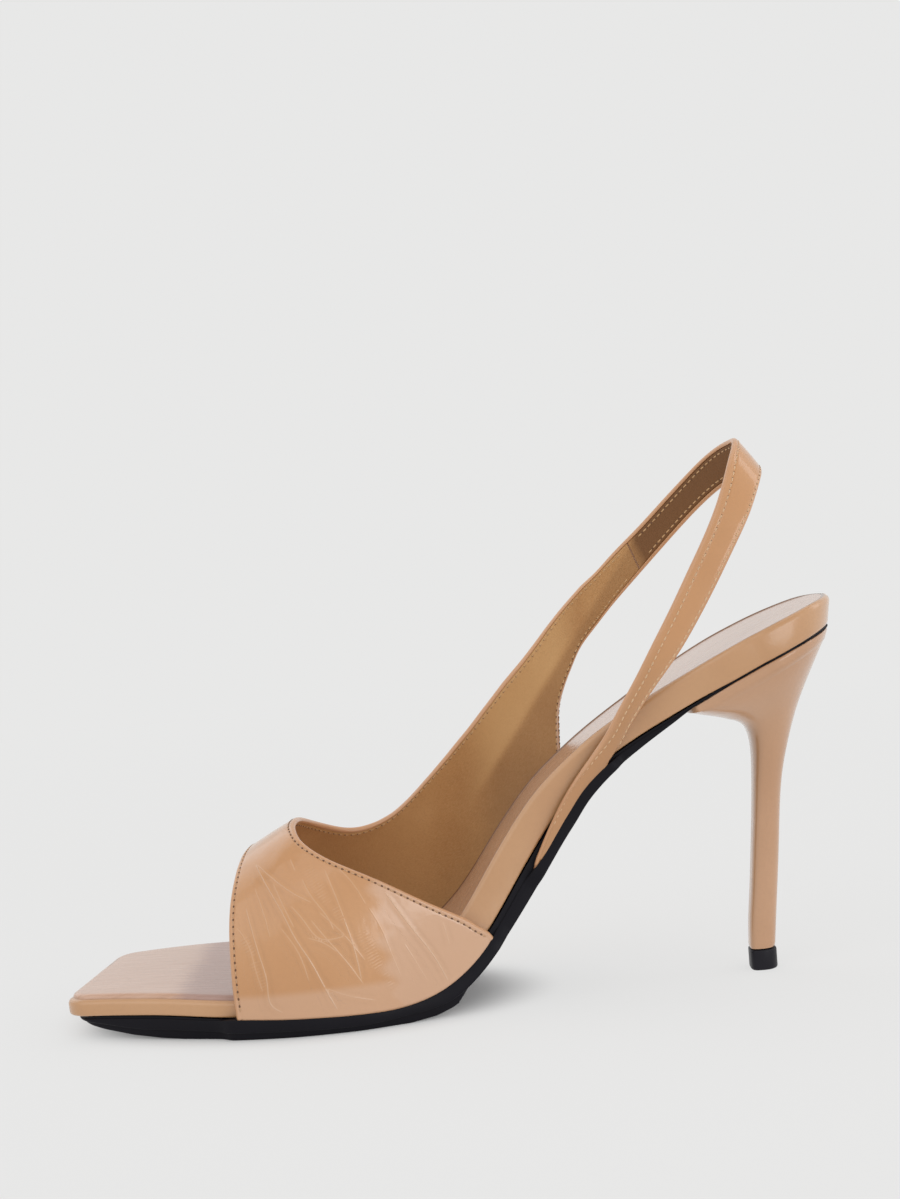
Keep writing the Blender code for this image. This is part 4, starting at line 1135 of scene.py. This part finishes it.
# ---- lining: two thin pieces bedded inside the folds, strap and wing --------------------------------
def lining(name, r0, r1, inner=0.0, inset=FOLD + 0.08):
    idx_ = np.arange(r0, r1)
    w = WID
    sc = np.minimum(1.0, w / 6.2)
    nC = 46
    lo, hi = inset * sc, w - inset * sc
    cols, offs = [], []
    t = np.linspace(0, 1, nC)
    for k in t:
        cols.append(lo + (hi - lo) * k)
        edge_in = 0.16 * np.exp(-(min(k, 1 - k) * (hi - lo) / 0.25) ** 2)
        offs.append(inner + edge_in)
    back = DEEP - 0.06
    for k in t[::-1][::3]:
        cols.append(lo + (hi - lo) * k); offs.append(np.full(NR, back))
    E, F = np.stack(cols, 1), np.stack([np.broadcast_to(o, (NR,)) for o in offs], 1)
    P, _ = at(E, F)
    P = P[idx_]
    C = E.shape[1]
    R_ = len(idx_)
    fc = grid_faces(R_, C, wrap=True)
    fc.append(tuple(range(C)))
    fc.append(tuple(reversed(range((R_ - 1) * C, R_ * C))))
    uv_ = np.stack([np.repeat(U_ROW[idx_][:, None], C, 1), E[idx_]], -1).reshape(-1, 2)
    # painted light and shade: the wing painted lighter in front of a slanting line and towards the front, painted
    # shade behind that line; the strap's lining and its root darker
    x_, z_ = P[..., 0], P[..., 2]
    dline = (x_ - 131.5) - (z_ - 75.5) * 0.71
    sm = lambda q: np.clip(q, 0, 1) ** 2 * (3 - 2 * np.clip(q, 0, 1))
    painted_light = sm((1.5 - dline) / 3.5) * sm((x_ - 108.0) / 14.0) * sm((149.0 - x_) / 10.0)
    shade_and_strap_tone = 0.33 * sm((dline + 1.0) / 3.0) * sm((x_ - 112.0) / 10.0) + 1.0 * sm((LAB[idx_][:, None] - CROSS + 0.1) / 0.6) * np.ones_like(x_)
    painted_light = np.clip(painted_light + 0.45 * sm((106.0 - x_) / 16.0), 0, 1)
    shade_and_strap_tone = np.clip(shade_and_strap_tone, 0, 1)
    return piece(name, P.reshape(-1, 3), fc, M_LINING, uv=uv_, attrs={"painted_light": painted_light, "shade_and_strap_tone": shade_and_strap_tone})


i_cross = int(np.searchsorted(LAB, CROSS))
lining("lining_wing", 0, i_cross - 0)
lining("lining_strap", i_cross + 0, NR, inner=0.14)


# ---- stitches ---------------------------------------------------------------------------------------
def capsule_template(length, rad, n=8):
    prof = [(-0.5, 0.0), (-0.47, 0.45), (-0.38, 0.80), (-0.2, 1.0), (0.0, 1.04), (0.2, 1.0), (0.38, 0.80), (0.47, 0.45), (0.5, 0.0)]
    return [(x * length, r * rad) for x, r in prof]


def stitches(name, runs, mat, pitch=1.9, length=1.42, rad=0.23, dip=0.13):
    """Joined capsules along each run; a run is (points, outward normals)."""
    prof = capsule_template(length, rad)
    n = 8
    V, F = [], []
    ang = np.linspace(0, 2 * np.pi, n, endpoint=False)
    for P, N in runs:
        d = arc(P)
        if d[-1] < 3:
            continue
        k = int(d[-1] / pitch)
        c = (np.arange(k) + 0.5) * d[-1] / k
        for ci in c:
            p = np.array([np.interp(ci, d, P[:, j]) for j in range(3)])
            a = np.array([np.interp(ci - 0.5, d, P[:, j]) for j in range(3)])
            b = np.array([np.interp(ci + 0.5, d, P[:, j]) for j in range(3)])
            nn = np.array([np.interp(ci, d, N[:, j]) for j in range(3)])
            t = b - a; t /= np.linalg.norm(t)
            nn -= t * (nn @ t); nn /= np.linalg.norm(nn)
            s = np.cross(nn, t)
            base = len(V)
            for x, r in prof[1:-1]:
                o = p + t * x + nn * (0.05 - dip * (2 * abs(x) / length) ** 2)
                for q in ang:
                    V.append(o + (nn * math.cos(q) * 0.8 + s * math.sin(q)) * r)
            e0 = len(V); V.append(p + t * prof[0][0] + nn * (0.05 - dip))
            e1 = len(V); V.append(p + t * prof[-1][0] + nn * (0.05 - dip))
            m_ = len(prof) - 2
            for i in range(m_ - 1):
                for j in range(n):
                    j2 = (j + 1) % n
                    F.append((base + i * n + j, base + i * n + j2, base + (i + 1) * n + j2, base + (i + 1) * n + j))
            for j in range(n):
                j2 = (j + 1) % n
                F.append((e0, base + j2, base + j))
                F.append((e1, base + (m_ - 1) * n + j, base + (m_ - 1) * n + j2))
    return piece(name, np.array(V), F, mat)


def run(which, dist, r0, r1, off, flip=1.0):
    """Line at a distance from edge a or b over label range r0..r1."""
    k = np.where((LAB >= r0) & (LAB <= r1))[0]
    d = np.broadcast_to(dist, (NR,)) * np.minimum(1.0, WID / 6.2)
    e = d if which == "a" else WID - d
    P, N = at(np.repeat(e[:, None], 2, 1), np.broadcast_to(np.asarray(off, float), (NR,))[:, None] * np.ones((1, 2)))
    P, N = P[k, 0], N[k, 0] * flip
    keep = np.concatenate([[True], np.linalg.norm(np.diff(P, axis=0), axis=1) > 1e-5])
    return P[keep], N[keep]


def shift_run(rn, d):
    P, N = rn
    dd = arc(P)
    n = len(P)
    q = np.clip(dd + d, 0, dd[-1])
    return np.stack([np.interp(q, dd, P[:, j]) for j in range(3)], -1), N


o_a = WALL - 0.13 + 0.22 * is_sling[:, 0] * np.sin(np.pi * np.clip(st_a / WID, 0, 1)) ** 0.8
o_b = WALL - 0.13 + 0.22 * is_sling[:, 0] * np.sin(np.pi * np.clip(st_b / WID, 0, 1)) ** 0.8
outer_runs = [run("a", st_a, 0.15, 12.75, o_a), run("b", st_b, 0.15, 48.6, o_b), run("a", st_a, 22.5, 47.6, o_a)]
vamp_runs = [run("a", st_a, 0.15, 12.75, o_a), run("b", st_b, 0.15, 27.0, o_b), run("a", st_a, 22.5, 27.0, o_a)]
strap_runs = [run("b", st_b, 27.0, 48.6, o_b), run("a", st_a, 27.0, 47.6, o_a)]
stitches("stitches_vamp", vamp_runs, M_THREAD_V, rad=0.21, length=1.30)
stitches("stitches_strap", strap_runs, M_THREAD)
# painted shade in the needle holes between the stitches
stitches("needle_shade_vamp", [shift_run(r, 0.95) for r in vamp_runs], M_NEEDLE_SHADE, length=0.75, rad=0.25, dip=0.08)
stitches("needle_shade_strap", [shift_run(r, 0.95) for r in strap_runs], M_NEEDLE_SHADE, length=0.35, rad=0.17, dip=0.08)
IN = 2.05
inner_runs = [run("b", IN, 0.3, CROSS - 0.3, 0.02, -1.0), run("b", IN, CROSS + 0.3, 47.5, 0.16, -1.0),
              run("a", IN, 22.6, CROSS - 0.3, 0.02, -1.0), run("a", IN, CROSS + 0.3, 47.0, 0.16, -1.0),
              run("a", IN, 0.3, 12.6, 0.02, -1.0)]
stitches("stitches_lining", inner_runs, M_THREAD_L, rad=0.20)
# painted shade in the needle holes of the lining's stitches
stitches("needle_shade_lining", [shift_run(r, 0.95) for r in inner_runs], M_NEEDLE_SHADE, length=0.45, rad=0.20, dip=0.08)


# ---- slabs that follow the sole -----------------------------------------------------------------------
def stations(first, last_s, step):
    head = first + np.array([0.0, 0.12, 0.35, 0.7, 1.2, 1.8, 2.5, 3.3, 4.2, 5.2, 6.4, 7.8, 9.4])
    tail = last_s - np.array([12.0, 10.4, 8.9, 7.5, 6.2, 5.0, 4.0, 3.1, 2.3, 1.6, 1.0, 0.55, 0.25, 0.08, 0.0])
    n = int(round((tail[0] - head[-1]) / step))
    return np.concatenate([head, np.linspace(head[-1], tail[0], n + 1)[1:-1], tail])


def outline(s, out_m, out_l, toe=0.0, heel=0.0):
    s = np.asarray(s, float)
    u = np.clip(s / 40.0, 0, 1)
    sl = s + SLANT * (1 - u) ** 1.6
    q = np.clip(1 - s / 5.0, 0, 1)
    ym = wm(s) - 5.0 * (1 - np.sqrt(1 - q ** 2))
    ql = np.clip(1 - s / 7.0, 0, 1)
    yl = wl(sl) - 6.5 * (1 - np.sqrt(1 - ql ** 2))
    e = np.clip((HEEL_END - s) / 21.0, 0, 1)
    end = np.sqrt(np.clip(1 - (1 - e) ** 2, 0, 1))
    r = np.where(s > HEEL_END - 21.0, 1.0, 0.0)
    ym = np.where(r > 0, 20.7 * end, ym)
    yl = np.where(r > 0, 21.3 * end, yl)
    h = np.clip((s - (HEEL_END - 21)) / 21.0, 0, 1)
    sm2 = s - toe * (1 - u) ** 2 + heel * h ** 2
    sl2 = sl - toe * (1 - u) ** 2 + heel * h ** 2
    om = np.broadcast_to(out_m, s.shape) * np.where(r > 0, end, 1.0)
    ol = np.broadcast_to(out_l, s.shape) * np.where(r > 0, end, 1.0)
    return sm2, -(ym + om) - 0.02, sl2, yl + ol + 0.02


def perimeter(S, om, ol, toe, heel, nfront):
    """Closed plan outline: front edge, lateral side, tail, medial side; each point carries its station."""
    sm, ym, sl, yl = outline(S, om, ol, toe, heel)
    f = np.linspace(0, 1, nfront)
    pts = [(sm[0] + (sl[0] - sm[0]) * t, ym[0] + (yl[0] - ym[0]) * t, S[0]) for t in f]
    pts += [(sl[i], yl[i], S[i]) for i in range(1, len(S))]
    pts += [(sm[i], ym[i], S[i]) for i in range(len(S) - 1, 0, -1)]
    return np.array(pts)


def plan_normals(P):
    d = np.roll(P[:, :2], -1, 0) - np.roll(P[:, :2], 1, 0)
    n = np.stack([d[:, 1], -d[:, 0]], -1)
    n /= np.maximum(np.linalg.norm(n, axis=1, keepdims=True), 1e-9)
    c = P[:, :2].mean(0)
    if ((P[:, :2] - c) * n).sum() < 0:
        n = -n
    return n


def slab(name, S, om, ol, toe, heel, levels, mat, node, nfront=31, ncap=15, crown=None, sharp=None, shade_levels=None):
    """levels: (inset from the outline, function of the point giving its 3-D place)."""
    P = perimeter(S, om, ol, toe, heel, nfront)
    N = plan_normals(P)
    for _ in range(2):
        N = (np.roll(N, 1, 0) + 2 * N + np.roll(N, -1, 0)) / 4
        N /= np.linalg.norm(N, axis=1, keepdims=True)
    M = len(P)
    R_ = len(S)

    def ring_pts(inset):
        if callable(inset):
            inset = inset(P[:, 2])
        ins = np.minimum(np.broadcast_to(inset, (M,)), 1e9)
        # never past the middle
        half_w = np.interp(P[:, 2], S, 0.5 * (outline(S, om, ol, toe, heel)[3] - outline(S, om, ol, toe, heel)[1]))
        ins = np.minimum(ins, 0.8 * np.maximum(half_w, np.where(P[:, 2] > 150.0, 3.4, 0.0)))
        return P[:, :2] - N * ins[:, None]

    def cap(inset, place, nc):
        Q = ring_pts(inset)
        lat = np.concatenate([[nfront - 1], np.arange(nfront, nfront + R_ - 1)])
        med = np.concatenate([[0], M - 1 - np.arange(R_ - 1)])
        rows = []
        for i in range(R_):
            t = np.linspace(0, 1, nc)[:, None]
            if i == 0:
                g = np.linspace(0, nfront - 1, nc)
                row = np.stack([np.interp(g, np.arange(nfront), Q[:nfront, k]) for k in (0, 1)], -1)
            else:
                row = Q[med[i]] * (1 - t) + Q[lat[i]] * t
            rows.append(row)
        return np.array(rows), Q
    V, F, UV, TN = [], [], [], []

    def add(p3, q2):
        b = sum(len(v) for v in V)
        TN.append(np.full(len(p3), shade_levels[len(V)] if shade_levels else 0.0))
        V.append(p3); UV.append(q2)
        return b
    # rings use nfront points on the front edge; caps use the same count across every row
    top_in, top_place = levels[0]
    g, Q = cap(top_in, top_place, nfront)
    flat = g.reshape(-1, 2)
    b0 = add(top_place(flat[:, 0], flat[:, 1], crown(flat, g, nfront) if crown else 0.0), flat)
    F += grid_faces(R_, nfront, b0)
    # index of the cap's boundary in perimeter order
    bound = [b0 + j for j in range(nfront)] + [b0 + i * nfront + nfront - 1 for i in range(1, R_)] + \
            [b0 + i * nfront for i in range(R_ - 1, 0, -1)]
    prev = bound
    for inset, place in levels[1:-1]:
        q = ring_pts(inset)
        b = add(place(q[:, 0], q[:, 1], 0.0), q)
        cur = [b + k for k in range(M)]
        for k in range(M):
            k2 = (k + 1) % M
            F.append((prev[k], prev[k2], cur[k2], cur[k]))
        prev = cur
    bot_in, bot_place = levels[-1]
    g, Q = cap(bot_in, bot_place, nfront)
    flat = g.reshape(-1, 2)
    b1 = add(bot_place(flat[:, 0], flat[:, 1], 0.0), flat)
    F += [tuple(reversed(f)) for f in grid_faces(R_, nfront, b1)]
    bound = [b1 + j for j in range(nfront)] + [b1 + i * nfront + nfront - 1 for i in range(1, R_)] + \
            [b1 + i * nfront for i in range(R_ - 1, 0, -1)]
    for k in range(M):
        k2 = (k + 1) % M
        F.append((prev[k], prev[k2], bound[k2], bound[k]))
    V = np.concatenate(V)
    UV = np.concatenate(UV)
    lenmap = arc(np.stack([_G, 0 * _G, _Z], -1))
    uv_ = np.stack([np.interp(UV[:, 0], _G, lenmap), UV[:, 1]], -1)
    st_ = UV[:, 0]
    # painted shade at the sock and rim seam, per level, weaker towards the toe
    at_ = {"seam_shade": np.concatenate(TN) * (0.15 + 0.85 * np.clip((st_ - 60.0) / 30.0, 0, 1)), "station": st_} if shade_levels else None
    return piece(name, V, F, mat, node=node, uv=uv_, sharp=sharp, attrs=at_)


def depth(d):
    """Place at a constant depth (or a function of station) under the insole profile."""
    return lambda s, y, extra: sheet(s, y, (d(s) if callable(d) else d) + extra)


S1 = stations(0.0, HEEL_END, 1.1)
one = np.ones_like(S1)
# insole board with its wrapped, rounded rim
RT, RB = 1.7, 0.7


def back(s, a=56.0, b_=96.0):
    u = np.clip((np.asarray(s, float) - a) / (b_ - a), 0, 1)
    return u * u * (3 - 2 * u)


def tailr(s):
    u = np.clip((np.asarray(s, float) - 206.0) / 8.0, 0, 1)
    return 0.8 * u * u * (3 - 2 * u)


def lip(s):
    return back(s) * (1.0 - tailr(s) / 0.8)


LIP = 0.52
lv = []
lv.append((lambda s: RT + tailr(s) - 0.13 * lip(s), depth(0.0)))
lv.append((lambda s: (RT + tailr(s)) * (1 - math.sin(math.radians(8))) - 0.13 * lip(s), depth(lambda s: 0.015 - 0.75 * LIP * lip(s))))
for th in np.radians([16, 28, 42, 56, 70, 82, 90]):
    k_ = max(0.0, math.cos(1.25 * (th - 0.5)))
    lv.append((lambda s, th=th: (RT + tailr(s)) * (1 - math.sin(th)),
               depth(lambda s, th=th, k_=k_: (RT + tailr(s)) * (1 - math.cos(th)) * 0.9 - LIP * k_ * lip(s))))
lv.append((0.0, depth(lambda s: 0.5 * board_t(s))))
for th in np.radians([0, 30, 60, 90]):
    lv.append((RB * (1 - math.cos(th)), depth(lambda s, th=th: board_t(s) + 0.42 * np.clip((s - 172.0) / 10.0, 0, 1) - RB * (1 - math.sin(th)))))
# painted shade: the rim's innermost rings darkened beside the sock
slab("insole_board_wrap", S1, RIM * one, RIM * one, RIM, RIM, lv, M_RIM, "insole_board",
     shade_levels=[1, 1, 0.75] + [0] * 20)

# sock lining on the board, edges rolled down to it
lv = []
def sock_top(s): return -1.18 + 1.00 * back(s) + 0.15 * tailr(s)
def sock_r(s): return 1.42 - 1.05 * back(s)


for th in np.radians([0, 12, 26, 40, 54, 68, 80, 90]):
    lv.append((lambda s, th=th: 1.1 * sock_r(s) * (1 - math.sin(th)),
               depth(lambda s, th=th: sock_top(s) + sock_r(s) * (1 - math.cos(th)))))
lv.append((0.02, depth(0.30)))
lv.append((0.30, depth(0.36)))
lv.append((1.30, depth(0.05)))
sock_edge = -0.30 + 0.12 * back(S1) - 1.1 * tailr(S1)
# painted shade: the sock's rolled side darkened down to the rim
slab("sock_cover", S1, sock_edge, sock_edge, -0.30, -1.35, lv, M_SOCK, "sock_lining",
     shade_levels=[0, 0, 0, 0.1, 0.35, 0.8, 1, 1, 1, 1, 0])

# ---- outsole: flange beside the board, tread block under the forepart ---------------------------------
UNDER = np.array([(3.0, 5.0), (9.0, 3.1), (17.0, 1.4), (25.0, 0.4), (31.0, 0.06), (35.0, 0.0),
                  (92.0, 0.0), (99.0, 0.9), (103.8, 2.6), (106.6, 4.4)])
BLOCK_IN, BLOCK_END = 1.2, 106.6
So = stations(0.0, HEEL_END, 1.0)
fm_, fl_ = pchip(EDGE[:, 0], EDGE[:, 2], So), pchip(EDGE[:, 0], EDGE[:, 3], So)


def out_b(s):
    return board_t(s) + GAP + outsole_t(s)


def low_z(s, y, extra, up=0.0):
    p = sheet(s, y, out_b(s))
    under = np.interp(p[:, 0], UNDER[:, 0], UNDER[:, 1])
    h = np.where(p[:, 0] < BLOCK_END, p[:, 2] - under, 0.12)
    # rounded rear step of the block
    near = np.clip((BLOCK_END - p[:, 0]) / 1.6, 0, 1)
    h = np.where(p[:, 0] < BLOCK_END, np.maximum(h * np.sqrt(np.clip(1 - (1 - near) ** 2, 0, 1)), 0.12), 0.12)
    p[:, 2] = p[:, 2] - np.maximum(h, 0.12) + np.minimum(up, 0.4 * np.maximum(h, 0.12))
    return p


hs = np.clip((So - 174.0) / 8.0, 0, 1)
fm_, fl_ = fm_ - 0.55 * hs, fl_ - 0.55 * hs
P_ = perimeter(So, RIM + fm_, RIM + fl_, -1.6, RIM - 0.9, 31)
lat_ = P_[:, 1] > 0
k_in = np.where(lat_, np.interp(P_[:, 2], So, np.maximum(fl_, 0.25)), np.interp(P_[:, 2], So, np.maximum(fm_, 0.25)))
k_in[:31] = 0.3
ctop = lambda s: flange_d(s)
lv = [
    (k_in + 0.35, depth(lambda s: board_t(s) + GAP)),
    (k_in, depth(lambda s: np.minimum(board_t(s) + GAP + 0.05, ctop(s)))),
    (k_in, depth(lambda s: ctop(s))),
    (0.22, depth(lambda s: ctop(s))),
    (0.06, depth(lambda s: ctop(s) + 0.07)),
    (0.0, depth(lambda s: np.minimum(ctop(s) + 0.22, 0.5 * (ctop(s) + out_b(s))))),
    (0.0, depth(lambda s: np.maximum(out_b(s) - 0.42, 0.5 * (ctop(s) + out_b(s))))),
    (0.07, depth(lambda s: out_b(s) - 0.2)),
    (0.22, depth(lambda s: out_b(s) - 0.06)),
    (0.42, depth(lambda s: out_b(s))),
    (BLOCK_IN - 0.15, depth(lambda s: out_b(s))),
    (BLOCK_IN, lambda s, y, e: low_z(s, y, e, 0.45) + np.array([0, 0, 0.0])),
    (BLOCK_IN + 0.12, lambda s, y, e: low_z(s, y, e, 0.14)),
    (BLOCK_IN + 0.40, lambda s, y, e: low_z(s, y, e, 0.0)),
    (BLOCK_IN + 2.0, lambda s, y, e: low_z(s, y, e, 0.0)),
]
slab("outsole_rubber", So, RIM + fm_, RIM + fl_, -1.6, RIM - 0.3, lv, M_SOLE, "outsole", sharp=50)


# ---- heel and top lift ---------------------------------------------------------------------------------
HEEL = np.array([
    # front_x front_z back_x back_z half_w widest front_exp
    (186.9,   6.0,   194.2,   6.0,   4.0,  0.42, 3.6),
    (187.4,  14.0,   195.1,  14.4,   4.0,  0.42, 3.6),
    (188.3,  22.0,   196.0,  22.6,   4.1,  0.42, 3.6),
    (189.4,  33.0,   197.2,  34.0,   4.3,  0.42, 3.6),
    (190.5,  45.0,   198.4,  46.4,   4.7,  0.42, 3.4),
    (191.1,  53.5,   199.8,  55.6,   5.3,  0.42, 3.2),
    (191.4,  60.0,   201.6,  62.8,   6.4,  0.42, 3.0),
    (191.0,  65.2,   203.6,  69.4,   8.2,  0.42, 2.9),
    (189.6,  68.6,   205.6,  74.8,  10.4,  0.42, 2.9),
    (187.0,  70.4,   207.8,  79.8,  12.8,  0.43, 3.0),
    (183.2,  71.5,   210.0,  84.4,  15.4,  0.44, 3.2),
    (178.2,  72.2,   212.0,  88.4,  17.8,  0.45, 3.6),
    (173.4,  72.9,   213.6,  91.6,  19.6,  0.46, 4.2),
])


def ring(row, n=96, grow=0.0):
    fx, fz, bx, bz, w, c, ex = row
    phi = np.linspace(0, 2 * np.pi, n, endpoint=False)
    ca, sa = np.cos(phi), np.sin(phi)
    back = ca >= 0
    u = np.where(back, c + (1 - c) * np.abs(ca), c - c * np.abs(ca) ** (2 / ex))
    v = np.where(back, np.sign(sa) * np.abs(sa), np.sign(sa) * np.abs(sa) ** (2 / ex))
    L_ = bx - fx
    return np.stack([fx - grow + (L_ + 2 * grow) * u, (w + grow) * v, fz + (bz - fz) * u], -1)


def closed_loft(name, loops, mat, node, sharp=None):
    loops = np.asarray(loops)
    R_, C = loops.shape[:2]
    f = grid_faces(R_, C, wrap=True)
    f.append(tuple(range(C)))
    f.append(tuple(reversed(range((R_ - 1) * C, R_ * C))))
    d = np.concatenate([[0], np.cumsum(np.linalg.norm(np.diff(loops, axis=0), axis=2).mean(1))])
    a = np.linspace(0, 1, C, endpoint=False) * 60
    uv_ = np.stack([np.repeat(d[:, None], C, 1), np.repeat(a[None], R_, 0)], -1).reshape(-1, 2)
    return piece(name, loops.reshape(-1, 3), f, mat, node=node, uv=uv_, sharp=sharp)


NH = 120
hrows = spline(np.arange(len(HEEL), dtype=float), HEEL, np.linspace(0, len(HEEL) - 1, 121))
hl = [ring(hrows[0], NH, -0.35) - np.array([0, 0, 0.0]), ring(hrows[0], NH, -0.1) + np.array([0, 0, 0.08])]
for k, r in enumerate(hrows[1:]):
    loop = ring(r, NH)
    u = np.clip((loop[:, 0] - r[0]) / (r[2] - r[0]) / 0.16, 0, 1)
    loop[:, 2] += 1.5 * np.clip((k - 96) / 24.0, 0, 1) * (1 - u * u * (3 - 2 * u))
    hl.append(loop)
SEAT_FROM = 168.3
phi = np.linspace(0, 2 * np.pi, NH, endpoint=False)
ca, sa = np.cos(phi), np.sin(phi)
back = ca >= 0
cc = 0.46
us = np.where(back, cc + (1 - cc) * np.abs(ca), cc - cc * np.abs(ca) ** (2 / 5.0))
vs = np.where(back, np.sign(sa) * np.abs(sa), np.sign(sa) * np.abs(sa) ** (2 / 5.0))
for lift_, shrink, tail_ in ((2.2, 0.5, 1.3), (1.4, 0.44, 0.7), (0.4, 0.44, -0.1), (-0.2, 0.46, -0.4), (-0.5, 0.9, 0.2)):
    ss = SEAT_FROM + (HEEL_END - tail_ - SEAT_FROM) * us
    o_ = outline(np.clip(ss, 0, HEEL_END), 0, 0)
    lim = np.where(vs < 0, -o_[1], o_[3]) + RIM - shrink
    y = np.sign(vs) * np.minimum(np.abs(vs) * 21.6, np.maximum(lim, 0.0))
    hl.append(sheet(ss, y, board_t(ss) + GAP + outsole_t(ss) + GAP + 0.1 + lift_ * np.where(lift_ > 0, np.clip(0.33 + 6.0 * us, 0, 1), 1.0)))
closed_loft("heel_cover_wrap", hl, M_HEEL, "heel", sharp=60)

base = (187.0, 0.0, 194.3, 0.0, 3.95, 0.42, 3.6)
tl = []
for z, g in ((0.0, -0.30), (0.05, -0.06), (0.25, 0.12), (0.5, 0.20), (2.6, 0.20), (5.2, 0.20), (5.45, 0.14), (5.65, 0.0), (5.7, -0.25)):
    r = list(base); r[1] = r[3] = z
    tl.append(ring(r, 72, g))
closed_loft("top_lift_rubber", tl, M_LIFT, "top_lift", sharp=40)
